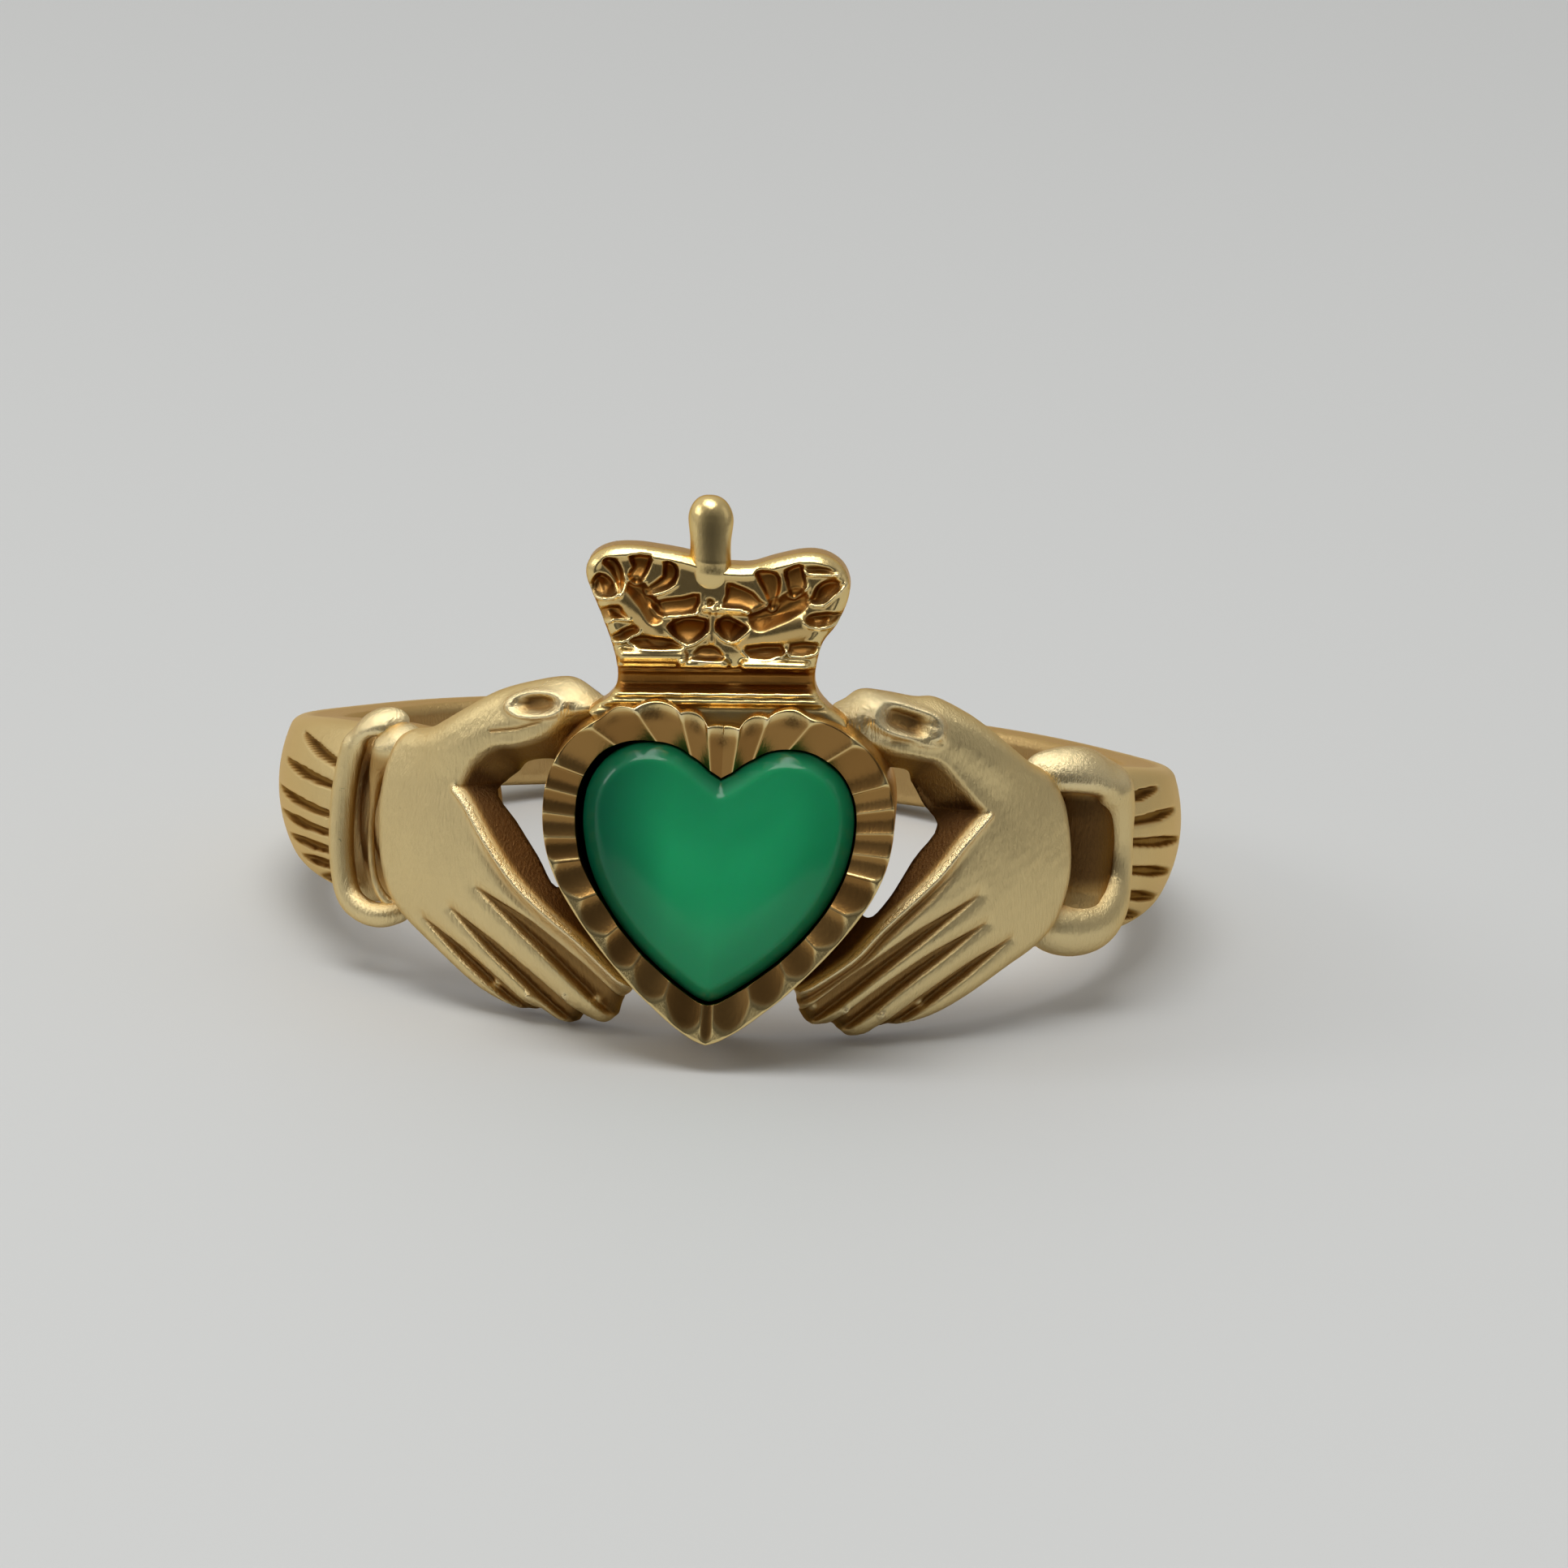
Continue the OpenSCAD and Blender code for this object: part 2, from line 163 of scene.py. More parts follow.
# %% Slow waviness of a hand-worked surface
def waviness(at, size, seed):
    """A smooth uneven field of about one unit, with features of the given size in mm."""
    rng = np.random.default_rng(seed)
    total = np.zeros(len(at))
    for _ in range(7):
        turn = rng.uniform(0, 2 * math.pi)
        wave = rng.uniform(0.6, 1.5) * 2 * math.pi / size
        phase = rng.uniform(0, 2 * math.pi)
        total += np.sin(wave * (at @ [math.cos(turn), math.sin(turn)]) + phase)
    return total / 7


# %% [markdown]
# A mesh sheet that is only cut along its own squares has a staircase for an edge.
# So the vertices at the cut slide onto the outline, their neighbours relax, and then the sheet is
# extruded: level 0 is the back, level 1 the front, and the walls get a few levels between them.

# %% Cut a sheet to an outline and thicken it
def to_mesh(bm, name):
    mesh = bpy.data.meshes.new(name)
    bm.to_mesh(mesh)
    bm.free()
    return mesh


def points_of(mesh):
    co = np.empty(len(mesh.vertices) * 3)
    mesh.vertices.foreach_get("co", co)
    return co.reshape(-1, 3)


WALL_CUTS = 3
RELAX_ROUNDS = 3
FRONT_LEVEL = 0.99
trim_share = 0.45
sheet_margin = 0.1


def border_verts(bm):
    return [v for v in bm.verts if v.is_boundary]


def cut_sheet(depth_of, low, high, step):
    """A closed shell: x and y are the place on the sheet, z is its level from 0 to 1."""
    size = np.subtract(high, low)
    cells = np.ceil(size / step).astype(int)
    bm = bmesh.new()
    bmesh.ops.create_grid(bm, x_segments=cells[0], y_segments=cells[1], size=1)
    middle = np.add(low, high) / 2
    place = Matrix.Translation((*middle, 0)) @ Matrix.Diagonal((*(size / 2), 1, 1))
    bmesh.ops.transform(bm, matrix=place, verts=bm.verts)
    depth = depth_of(np.array([v.co.xy for v in bm.verts]))
    outside = [v for v, d in zip(bm.verts, depth) if d < -trim_share * step]
    bmesh.ops.delete(bm, geom=outside, context="VERTS")
    loose = [v for v in bm.verts if len(v.link_faces) < 2]
    bmesh.ops.delete(bm, geom=loose, context="VERTS")
    for _ in range(RELAX_ROUNDS):
        slide_to_outline(border_verts(bm), depth_of, step)
        ring = {e.other_vert(v) for v in border_verts(bm) for e in v.link_edges}
        inner = [v for v in ring if not v.is_boundary]
        bmesh.ops.smooth_vert(bm, verts=inner, factor=0.5, use_axis_x=True, use_axis_y=True)
    made = bmesh.ops.extrude_face_region(bm, geom=bm.faces[:])["geom"]
    raised = [v for v in made if isinstance(v, bmesh.types.BMVert)]
    bmesh.ops.translate(bm, verts=raised, vec=(0, 0, 1))
    walls = [e for e in bm.edges if abs(e.verts[0].co.z - e.verts[1].co.z) > 0.5]
    bmesh.ops.subdivide_edges(bm, edges=walls, cuts=WALL_CUTS)
    bmesh.ops.recalc_face_normals(bm, faces=bm.faces)
    return bm


def slope_of(depth_of, at, reach):
    """Which way the depth grows fastest, at each place."""
    return np.stack([depth_of(at + [reach, 0]) - depth_of(at - [reach, 0]),
                     depth_of(at + [0, reach]) - depth_of(at - [0, reach])], axis=1) / (2 * reach)


def slide_to_outline(verts, depth_of, step):
    """Moves vertices across the sheet until they lie on the outline."""
    at = np.array([v.co.xy for v in verts])
    here = depth_of(at)
    slope = slope_of(depth_of, at, step / 4)
    steep = np.maximum((slope ** 2).sum(axis=1), 0.25)
    moved = at - np.clip(here, -step, step)[:, None] * slope / steep[:, None]
    for v, p in zip(verts, moved):
        v.co.xy = p


def relief_sheet(name, outline, depth_of, step):
    """A cut sheet as a mesh, with each vertex's place on the sheet and its level."""
    low, high = outline.min(axis=0) - sheet_margin, outline.max(axis=0) + sheet_margin
    mesh = to_mesh(cut_sheet(depth_of, low, high, step), name)
    co = points_of(mesh)
    return mesh, co[:, :2], co[:, 2]


# %% [markdown]
# Every finished piece takes the same last steps: its mesh is laid down into the CAD's frame, it
# rides on the ring's one body, stands for its CAD node, and carries one value per vertex for wear
# and painted light. The gold's finish reads that value: 1 is a dirty recess with painted shade,
# 0 is worn metal and -1 is polished metal with a painted highlight.


# %% Finish a piece
def add_object(name, data):
    made = bpy.data.objects.new(name, data)
    bpy.context.collection.objects.link(made)
    return made


def finish_piece(name, mesh, places, recess, material, node="gold_ring"):
    """Puts the vertices in place, in ring millimetres, and hands the piece to the frame."""
    mesh.vertices.foreach_set("co", np.asarray(places, float).ravel())
    # The value holds dirt and polish, and also painted shade and painted highlights
    mesh.attributes.new("recess", "FLOAT", "POINT").data.foreach_set(
        "value", np.asarray(recess, np.float32))
    mesh.transform(lay_down)
    bm = bmesh.new()
    bm.from_mesh(mesh)
    bmesh.ops.recalc_face_normals(bm, faces=bm.faces)
    bm.to_mesh(mesh)
    bm.free()
    mesh.shade_smooth()
    mesh.materials.append(material)
    piece = add_object(name, mesh)
    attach(piece, "root")
    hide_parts(node)
    triangles = sum(len(p.vertices) - 2 for p in mesh.polygons)
    print(f"{name}: {triangles} triangles")


# %% [markdown]
# The metal is nine carat gold. Wear has left the high places satin, with fine scratches and dark
# specks, while the recesses keep a warm brown that is partly dirt and partly painted shade. Polished
# spots take a paler colour that is partly bare metal and partly a painted highlight. One node group
# works these masks out, and each finish places it with its own strengths. A few helpers first
# shorten how nodes are placed.

# %% Helpers for nodes and materials
MM = 1000.0
# A Mix node holds its sockets once for each kind of value, and these are the colour ones
MIX_A, MIX_B, MIX_OUT = 6, 7, 2


def link(tree, out_node, out_socket, in_node, in_socket):
    tree.links.new(out_node.outputs[out_socket], in_node.inputs[in_socket])


def set_sockets(node, **values):
    """Sets sockets by their names, with an underscore for each space."""
    for socket, value in values.items():
        node.inputs[socket.replace("_", " ")].default_value = value


def add_node(tree, kind, **values):
    node = tree.nodes.new(kind)
    set_sockets(node, **values)
    return node


def place_in_mm(tree):
    to_mm = add_node(tree, "ShaderNodeMapping", Scale=(MM, MM, MM))
    link(tree, add_node(tree, "ShaderNodeTexCoord"), "Object", to_mm, "Vector")
    return to_mm


def read_wear_and_painted_light(tree):
    recess = add_node(tree, "ShaderNodeAttribute")
    recess.attribute_name = "recess"
    return recess


def noise_at(tree, place, **values):
    noise = add_node(tree, "ShaderNodeTexNoise", **values)
    link(tree, place, "Vector", noise, "Vector")
    return noise


def map_range(tree, source, socket, **values):
    mapped = add_node(tree, "ShaderNodeMapRange", **values)
    link(tree, source, socket, mapped, "Value")
    return mapped


def multiply(tree, first, first_socket, second, second_socket):
    product = add_node(tree, "ShaderNodeMath")
    product.operation = "MULTIPLY"
    link(tree, first, first_socket, product, 0)
    link(tree, second, second_socket, product, 1)
    return product


def mix_colour(tree, factor_node, factor_socket, first, second):
    """Mixes two colours, each a tuple or another mix, by a mask."""
    mix = add_node(tree, "ShaderNodeMix")
    mix.data_type = "RGBA"
    link(tree, factor_node, factor_socket, mix, 0)
    for socket, given in ((MIX_A, first), (MIX_B, second)):
        if isinstance(given, tuple):
            mix.inputs[socket].default_value = (*given, 1)
        else:
            link(tree, given, MIX_OUT, mix, socket)
    return mix


def new_material(name):
    material = bpy.data.materials.new(name)
    material.use_nodes = True
    return material, material.node_tree, material.node_tree.nodes["Principled BSDF"]


# %% Node group for worn metal and painted light
def build_wear_and_light_group():
    group = bpy.data.node_groups.new("worn_metal", "ShaderNodeTree")
    side = group.interface.new_socket
    for name in ("Scratches", "Specks"):
        side(name=name, in_out="INPUT", socket_type="NodeSocketFloat").default_value = 0.5
    for name in ("Stain mask", "Recess mask", "Polish mask", "Speck mask", "Cloud mask",
                 "Scratch height"):
        side(name=name, in_out="OUTPUT", socket_type="NodeSocketFloat")
    given = add_node(group, "NodeGroupInput")
    made = add_node(group, "NodeGroupOutput")
    place = place_in_mm(group)

    recess = read_wear_and_painted_light(group)
    # Three masks from the per-vertex value: stain with painted shade, dirt with painted shade, and polish
    # with a painted highlight
    for name, start, end in (("Stain mask", 0.0, 0.55), ("Recess mask", 0.4, 1.0),
                             ("Polish mask", 0.0, -1.0)):
        mask = map_range(group, recess, "Fac", From_Min=start, From_Max=end)
        link(group, mask, "Result", made, name)

    specks = noise_at(group, place, Scale=3.2, Detail=5.0, Roughness=0.75)
    speck_edge = map_range(group, specks, "Fac", From_Min=0.69, From_Max=0.76)
    speck_mask = multiply(group, speck_edge, "Result", given, "Specks")
    link(group, speck_mask, "Value", made, "Speck mask")

    clouds = noise_at(group, place, Scale=0.55, Detail=3.0)
    link(group, clouds, "Fac", made, "Cloud mask")

    stretched = add_node(group, "ShaderNodeMapping", Scale=(1.2, 1.2, 0.22), Rotation=(0.3, 0.5, 0.2))
    link(group, place, "Vector", stretched, "Vector")
    scratches = noise_at(group, stretched, Scale=14.0, Detail=4.0, Roughness=0.7)
    scratch_height = multiply(group, scratches, "Fac", given, "Scratches")
    link(group, scratch_height, "Value", made, "Scratch height")
    return group


worn_metal = build_wear_and_light_group()
print("node group:", worn_metal.name)

# %% [markdown]
# Gold's colour comes from its base colour, as in every metal. The satin gold of the hands is rough
# enough to blur the room into a soft glow. The milled rim and the crown were cut with bright tools,
# so their gold is smoother and shows darker, sharper reflections.


# %% Gold finishes
# A brown for stains and painted shade, and a paler bare metal colour that also serves as a painted highlight
stain_and_shade = (0.50, 0.30, 0.10)
bare_and_highlight = (0.89, 0.74, 0.43)
glancing_tint = (0.9, 0.66, 0.38, 1)
polished_rough = 0.13
scratch_depth = 0.035


def gold_finish(name, bright, deep, rough, rough_deep, scratches, specks, bump):
    material, tree, shader = new_material(name)
    set_sockets(shader, Metallic=1.0, Specular_Tint=glancing_tint)
    wear_and_light_masks = add_node(tree, "ShaderNodeGroup")
    wear_and_light_masks.node_tree = worn_metal
    set_sockets(wear_and_light_masks, Scratches=scratches, Specks=specks)
    dull = tuple(0.9 * c for c in bright)
    clouded = mix_colour(tree, wear_and_light_masks, "Cloud mask", bright, dull)
    # Painted shade: recesses are mixed towards the brown, then towards the darker deep colour
    stained_and_shaded = mix_colour(tree, wear_and_light_masks, "Stain mask", clouded, stain_and_shade)
    aged_and_shaded = mix_colour(tree, wear_and_light_masks, "Recess mask", stained_and_shaded, deep)
    # Painted highlight: polished places are mixed towards the paler bare metal colour
    rubbed_and_highlighted = mix_colour(tree, wear_and_light_masks, "Polish mask", aged_and_shaded, bare_and_highlight)
    speckled = mix_colour(tree, wear_and_light_masks, "Speck mask", rubbed_and_highlighted, tuple(0.25 * c for c in deep))
    link(tree, speckled, MIX_OUT, shader, "Base Color")
    roughness = map_range(tree, wear_and_light_masks, "Stain mask", To_Min=rough, To_Max=rough_deep)
    polished = map_range(tree, wear_and_light_masks, "Polish mask", To_Max=polished_rough)
    link(tree, roughness, "Result", polished, "To Min")
    link(tree, polished, "Result", shader, "Roughness")
    grain = add_node(tree, "ShaderNodeBump", Strength=bump, Distance=scratch_depth / MM)
    link(tree, wear_and_light_masks, "Scratch height", grain, "Height")
    link(tree, grain, "Normal", shader, "Normal")
    return material


# Deep colours for each finish: dirt, warm dirt and tarnish, each also standing in for shade and dark
# reflection
dirt_and_shade = (0.11, 0.052, 0.017)
warm_dirt_and_shade = (0.40, 0.18, 0.038)
tarnish_and_shade = (0.27, 0.14, 0.04)
satin_gold = gold_finish("satin_gold", (0.83, 0.655, 0.33), dirt_and_shade, 0.33, 0.36, 1.0, 0.8, 0.8)
bright_gold = gold_finish("bright_gold", (0.83, 0.63, 0.28), warm_dirt_and_shade, 0.20, 0.32, 0.7, 0.3, 0.3)
milled_gold = gold_finish("milled_gold", (0.83, 0.64, 0.29), tarnish_and_shade, 0.20, 0.24, 0.7, 0.3, 0.3)
print("finishes:", satin_gold.name, bright_gold.name, milled_gold.name)

# %% [markdown]
# The stone is a translucent green heart with a polish, so light enters it and glows back out.
# A principled shader with a strong green, some subsurface light and a smooth surface does this,
# and it stays readable for the export, which a volume would not.


# %% Green stone finish
def stone_finish():
    material, tree, shader = new_material("green_stone")
    set_sockets(shader, Roughness=0.13, Specular_IOR_Level=0.24, IOR=1.54, Subsurface_Weight=0.6,
                Subsurface_Radius=(0.05, 0.6, 0.25), Subsurface_Scale=1 / MM)
    place = place_in_mm(tree)
    clouds = noise_at(tree, place, Scale=0.35, Detail=2.0)
    clear = mix_colour(tree, clouds, "Fac", (0.012, 0.36, 0.13), (0.03, 0.50, 0.20))
    parts = add_node(tree, "ShaderNodeSeparateXYZ")
    link(tree, place, "Vector", parts, "Vector")
    # Painted shade: the left side of the stone is painted a darker green
    painted_left_shade = map_range(tree, parts, "X", From_Min=-0.9, From_Max=-2.7)
    green = mix_colour(tree, painted_left_shade, "Result", clear, (0.006, 0.10, 0.055))
    # Painted shade: the stone is painted darker towards its edge, from the per-vertex value
    edge_shaded_green = mix_colour(tree, read_wear_and_painted_light(tree), "Fac", green, (0.003, 0.10, 0.042))
    link(tree, edge_shaded_green, MIX_OUT, shader, "Base Color")
    return material


green_stone = stone_finish()
print("finish:", green_stone.name)

# %% [markdown]
# The heart outline is shared by the stone and its bezel. Two short tables give the right half of
# the stone's edge and of the rim's outer edge, from the tip round the lobe to the cleft. Outlines
# between the two are blends of them, so stone, seat and rim stay in step all the way round.

# %% Heart outline
heart_x = 0.05
stone_half = (
    (0, -2.92), (0.25, -2.84), (0.62, -2.60), (1.08, -2.25), (1.55, -1.83), (2.00, -1.32),
    (2.38, -0.76), (2.67, -0.13), (2.82, 0.48), (2.86, 1.00), (2.81, 1.46), (2.64, 1.87),
    (2.34, 2.22), (1.92, 2.45), (1.42, 2.53), (0.95, 2.43), (0.55, 2.20), (0.25, 1.97), (0, 1.80))
rim_half = (
    (0, -3.80), (0.30, -3.69), (0.75, -3.40), (1.20, -3.03), (1.62, -2.66), (2.06, -2.20),
    (2.50, -1.70), (2.93, -1.14), (3.30, -0.56), (3.56, 0.05), (3.68, 0.60), (3.71, 1.10),
    (3.67, 1.56), (3.54, 2.00), (3.30, 2.42), (2.95, 2.78), (2.50, 3.07), (2.00, 3.25),
    (1.50, 3.32), (1.05, 3.28), (0.65, 3.14), (0.30, 2.97), (0, 2.88))


def half_places(points, shares):
    """Places on a half outline at the given shares of its length."""
    line = smooth_line(points, steps=12)
    walked = np.concatenate([[0], np.cumsum(np.hypot(*np.diff(line, axis=0).T))])
    at = np.array(shares) * walked[-1]
    return np.stack([np.interp(at, walked, line[:, k]) for k in range(2)], axis=1)


def heart_ring(out, shares):
    """The whole heart, at the stone's edge (out 0), the rim's edge (out 1) or between them."""
    half = (1 - out) * half_places(stone_half, shares) + out * half_places(rim_half, shares)
    half[[0, -1], 0] = 0
    ring = np.vstack([half, half[-2:0:-1] * [-1, 1]])
    return ring + [heart_x, 0]


def outline_length(points):
    line = smooth_line(points, steps=12)
    return np.hypot(*np.diff(line, axis=0).T).sum()


print(f"half outlines: stone {outline_length(stone_half):.2f} mm, rim {outline_length(rim_half):.2f} mm")

# %% [markdown]
# Rings of vertices bridged one after another make both the bezel and the stone: a circle is
# created, and each extrusion of its edge is a new ring. The rings are then moved onto their
# outlines. Sections given as short tables of (outline offset, height) stay easy to change.


# %% Tube of rings
def ring_tube(count, rings, close_ends):
    """A tube whose vertices come ring after ring, with its two ends filled if asked."""
    bm = bmesh.new()
    first = bmesh.ops.create_circle(bm, segments=count, radius=1)["verts"]
    edges = bm.edges[:]
    if close_ends:
        bmesh.ops.holes_fill(bm, edges=edges, sides=0)
    for level in range(1, rings):
        made = bmesh.ops.extrude_edge_only(bm, edges=edges)["geom"]
        verts = [v for v in made if isinstance(v, bmesh.types.BMVert)]
        edges = [e for e in made if isinstance(e, bmesh.types.BMEdge)]
        bmesh.ops.translate(bm, verts=verts, vec=(0, 0, 1))
    if close_ends:
        bmesh.ops.holes_fill(bm, edges=edges, sides=0)
    return bm


def ring_numbers(places, count):
    """For each vertex of a ring tube: which ring it is on and which place round it."""
    turn = np.arctan2(places[:, 1], places[:, 0])
    number = np.round(turn / (2 * math.pi) * count).astype(int) % count
    return np.round(places[:, 2]).astype(int), number


# %% [markdown]
# The stone is a buff-top heart: an upright edge, a sloping band, a crisp crease that catches a thin
# line of light, and a shallow dome. Its profile is a short table of height against the distance
# from the outline, so the crease runs parallel to the edge and turns round the cleft.

# %% Heart stone
STONE_COUNT = 440
stone_foot = 0.04
stone_edge_h = 1.22
stone_dome_h = 0.14
stone_reach = 3.1
stone_centre = (heart_x, 0.2)
stone_shares = (1.0, 1.0, 1.0, 0.994, 0.986, 0.977, 0.968, 0.959, 0.95, 0.941, 0.932, 0.923,
                0.914, 0.905, 0.896, 0.887, 0.878, 0.866, 0.852, 0.834, 0.81, 0.775, 0.73, 0.67,
                0.59, 0.5, 0.4, 0.29, 0.17)
# Rows: distance in from the outline, height above the edge
stone_profile = ((0.0, 0.0), (0.02, 0.045), (0.05, 0.085), (0.10, 0.14), (0.26, 0.30),
                 (0.30, 0.332), (0.34, 0.352), (0.40, 0.364), (0.6, 0.38), (3.0, 0.40))


def build_stone():
    mesh = to_mesh(ring_tube(STONE_COUNT, len(stone_shares), True), "heart_stone_polished")
    level, number = ring_numbers(points_of(mesh), STONE_COUNT)
    outline = heart_ring(0, np.linspace(0, 1, STONE_COUNT // 2 + 1))
    shares = np.array(stone_shares)[level]
    flat = stone_centre + shares[:, None] * (outline[number] - stone_centre)
    inside = np.maximum(depth_in(outline, flat), 0)
    across = ((flat - stone_centre) ** 2).sum(axis=1) / stone_reach ** 2
    dome = stone_dome_h * ease(inside, 0.2, 1.1) * (1 - across)
    height = stone_edge_h + table(stone_profile, inside) + dome
    height = np.where(level == 0, 0, np.where(level == 1, stone_edge_h / 2, height))
    y = -(stone_seat + stone_foot + height)
    # Painted shade: dark at the outline, fading out over about two millimetres inwards
    painted_edge_shade = 0.45 * (1 - ease(inside, 0.0, 0.4)) + 0.4 * (1 - ease(inside, 0.2, 1.9))
    places = np.stack([flat[:, 0], y, flat[:, 1]], axis=1)
    finish_piece("heart_stone_polished", mesh, places, painted_edge_shade, green_stone, "heart_stone")


build_stone()

# %% [markdown]
# The bezel is a heart-shaped wall whose front edge was milled in scoops that fall towards the
# stone. A scoop starts as a narrow point near the outer edge and widens inwards, so bright
# triangles are left between the scoops. The jeweller cut them by eye, so their widths come from a
# table: wide down the sides, narrow where the outline turns at the shoulder of the heart.

# %% Milled bezel
# Widths of the scoops on one half in mm, with a half scoop at the tip and at the cleft
scoop_widths = (0.12, 0.9, 0.9, 0.8, 0.9, 0.85, 0.45, 0.45, 0.45, 0.45, 0.95, 0.9, 0.85, 0.55, 0.3)
SCOOP_STEPS = 26
WALL_RINGS = 5
RIM_RINGS = 24
cutter_share = 1.25
rim_w = 0.83
rim_edge_r = 0.05
scoop_fall = math.tan(math.radians(21))
scoop_start = 0.05
tongue_reach = 0.12
crest_line = 0.03
seat_gap = 0.05
seat_gap_left = 0.12
back_shares = (0.96, 0.9, 0.8, 0.7, 0.6, 0.5, 0.4, 0.3, 0.2, 0.1, 0.03)
heart_middle = (heart_x, -0.2)


def scoop_table():
    """For each vertex on a half: its share of the length, place in its scoop, the scoop's width
    and its number."""
    rows = []
    start = 0.0
    for i, width in enumerate(scoop_widths):
        half_first, half_last = i == 0, i == len(scoop_widths) - 1
        steps = SCOOP_STEPS // 2 if half_first or half_last else SCOOP_STEPS
        for k in range(steps):
            place = k / steps
            if half_first:
                middle_at = place / 2
            elif half_last:
                middle_at = (place - 1) / 2
            else:
                middle_at = place - 0.5
            full = 2 * width if half_first or half_last else width
            rows.append((start + place * width, middle_at, full, i))
        start += width
    rows.append((start, 0.0, 2 * scoop_widths[-1], len(scoop_widths) - 1))
    share, middle_at, full, scoop = np.array(rows).T
    return share / start, middle_at, full, scoop


def build_bezel():
    share, middle_at, width, scoop = scoop_table()
    half = len(share) - 1
    count = 2 * half
    outer_foot = 2 * WALL_RINGS + RIM_RINGS
    rings = outer_foot + 1 + len(back_shares)
    mesh = to_mesh(ring_tube(count, rings, True), "heart_bezel")
    level, number = ring_numbers(points_of(mesh), count)
    on_half = np.where(number <= half, number, count - number)
    middle_at, width, scoop = middle_at[on_half], width[on_half], scoop[on_half]
    across = np.clip((level - WALL_RINGS) / RIM_RINGS, 0, 1)
    inner = seat_gap / rim_w
    outs = inner + (1 - inner) * (0.5 - 0.5 * np.cos(math.pi * across))
    outlines = {o: heart_ring(o, share) for o in set(outs)}
    flat = np.array([outlines[o][n] for o, n in zip(outs, number)])

    cutter = cutter_share * width
    sag = cutter - np.sqrt(cutter ** 2 - (middle_at * width) ** 2)
    high = ease(flat[:, 1], -1.5, 1.5)
    fall = (1 - outs) * rim_w * scoop_fall * (0.6 + 0.4 * high)
    cut = np.maximum(0, scoop_start * high + fall - sag)
    upper = ease(flat[:, 1], 1.6, 2.4) * (1 - ease(np.abs(flat[:, 0] + 0.3), 1.8, 2.3))
    tongue = tongue_reach * upper * (1 - (2 * middle_at) ** 2) * ease(outs, 0.55, 1.0)
    left_side = ease(-flat[:, 0], 1.4, 2.5) * ease(flat[:, 1], -1.2, 0.2)
    opened = seat_gap_left * (1 - across) * left_side
    ahead = np.roll(outlines[1.0], -1, axis=0) - np.roll(outlines[1.0], 1, axis=0)
    away = np.stack([ahead[:, 1], -ahead[:, 0]], axis=1) / np.hypot(*ahead.T)[:, None]
    flat = flat + (tongue + opened)[:, None] * away[number]
    shrink = np.array((1,) * (outer_foot + 1) + back_shares)[level][:, None]
    flat = heart_middle + shrink * (flat - heart_middle)

    front = rim_front - cut - round_edge((1 - outs) * rim_w, rim_edge_r) - 0.5 * tongue
    back = np.sqrt(finger_r ** 2 - flat[:, 0] ** 2)
    inner_share = level / WALL_RINGS
    outer_share = np.clip((outer_foot - level) / WALL_RINGS, 0, 1)
    r = np.where(level < WALL_RINGS, stone_seat + (front - stone_seat) * inner_share, front)
    r = np.where(level > WALL_RINGS + RIM_RINGS, back + (front - back) * outer_share, r)
    places = np.stack([flat[:, 0], -r, flat[:, 1]], axis=1)
    from_crest = (0.5 - np.abs(middle_at)) * width
    crest = np.exp(-(from_crest / crest_line) ** 2)
    tone = 0.9 + 0.1 * np.sin(2.4 * scoop + 2 * (flat[:, 0] > heart_x))
    # Painted shade in the scoops, lighter along their crests, with a little change of tone from scoop to
    # scoop
    recess = ease(cut, 0.0, 0.05) * (1 - 0.8 * crest) * tone
    # Polish with a painted highlight along the outer part of the upper rim
    recess -= 0.9 * upper * ease(outs, 0.72, 0.95)
    # Painted shade on the outer wall and the back
    recess = np.where(level > WALL_RINGS + RIM_RINGS, 0.3, recess)
    finish_piece("heart_bezel", mesh, places, recess, milled_gold)


build_bezel()

# %% [markdown]
# The band is a D section swept round the finger: domed outside, flat inside, wide and thick at
# the shoulders and narrow at the back. The same tube of rings serves, with one ring for each step
# round the finger. The shoulders carry seven milled slots a side, longer in the middle.

# %% Band with milled shoulders
# Rows: degrees from the front, height of the band's top edge, depth of its bottom edge
band_edges = (
    (36, 1.90, 2.05), (50, 1.92, 2.16), (55, 1.86, 2.06),
    (60, 1.78, 1.96), (68, 1.67, 1.90), (76, 1.52, 1.79),
    (84, 1.37, 1.60), (92, 1.25, 1.38), (102, 1.13, 1.14), (114, 1.03, 1.02), (130, 1.0, 1.0),
    (182, 1.0, 1.0))
collar_ends = {-1: 53.6, 1: 57.7}
collar_step = 1.5
band_edge_r = 0.22
bore_edge_r = 0.12
OUTER_POINTS = 98
WALL_POINTS = 3
INNER_POINTS = 16
SECTION = OUTER_POINTS + WALL_POINTS + INNER_POINTS + WALL_POINTS
BAND_RINGS = 380
slot_w = 0.17
slot_depth = 0.24
# Rows: share of the rings, degrees round the finger (fine rings at the two shoulders)
ring_spread = ((0.0, 38.0), (0.38, 88.0), (0.62, 272.0), (1.0, 322.0))
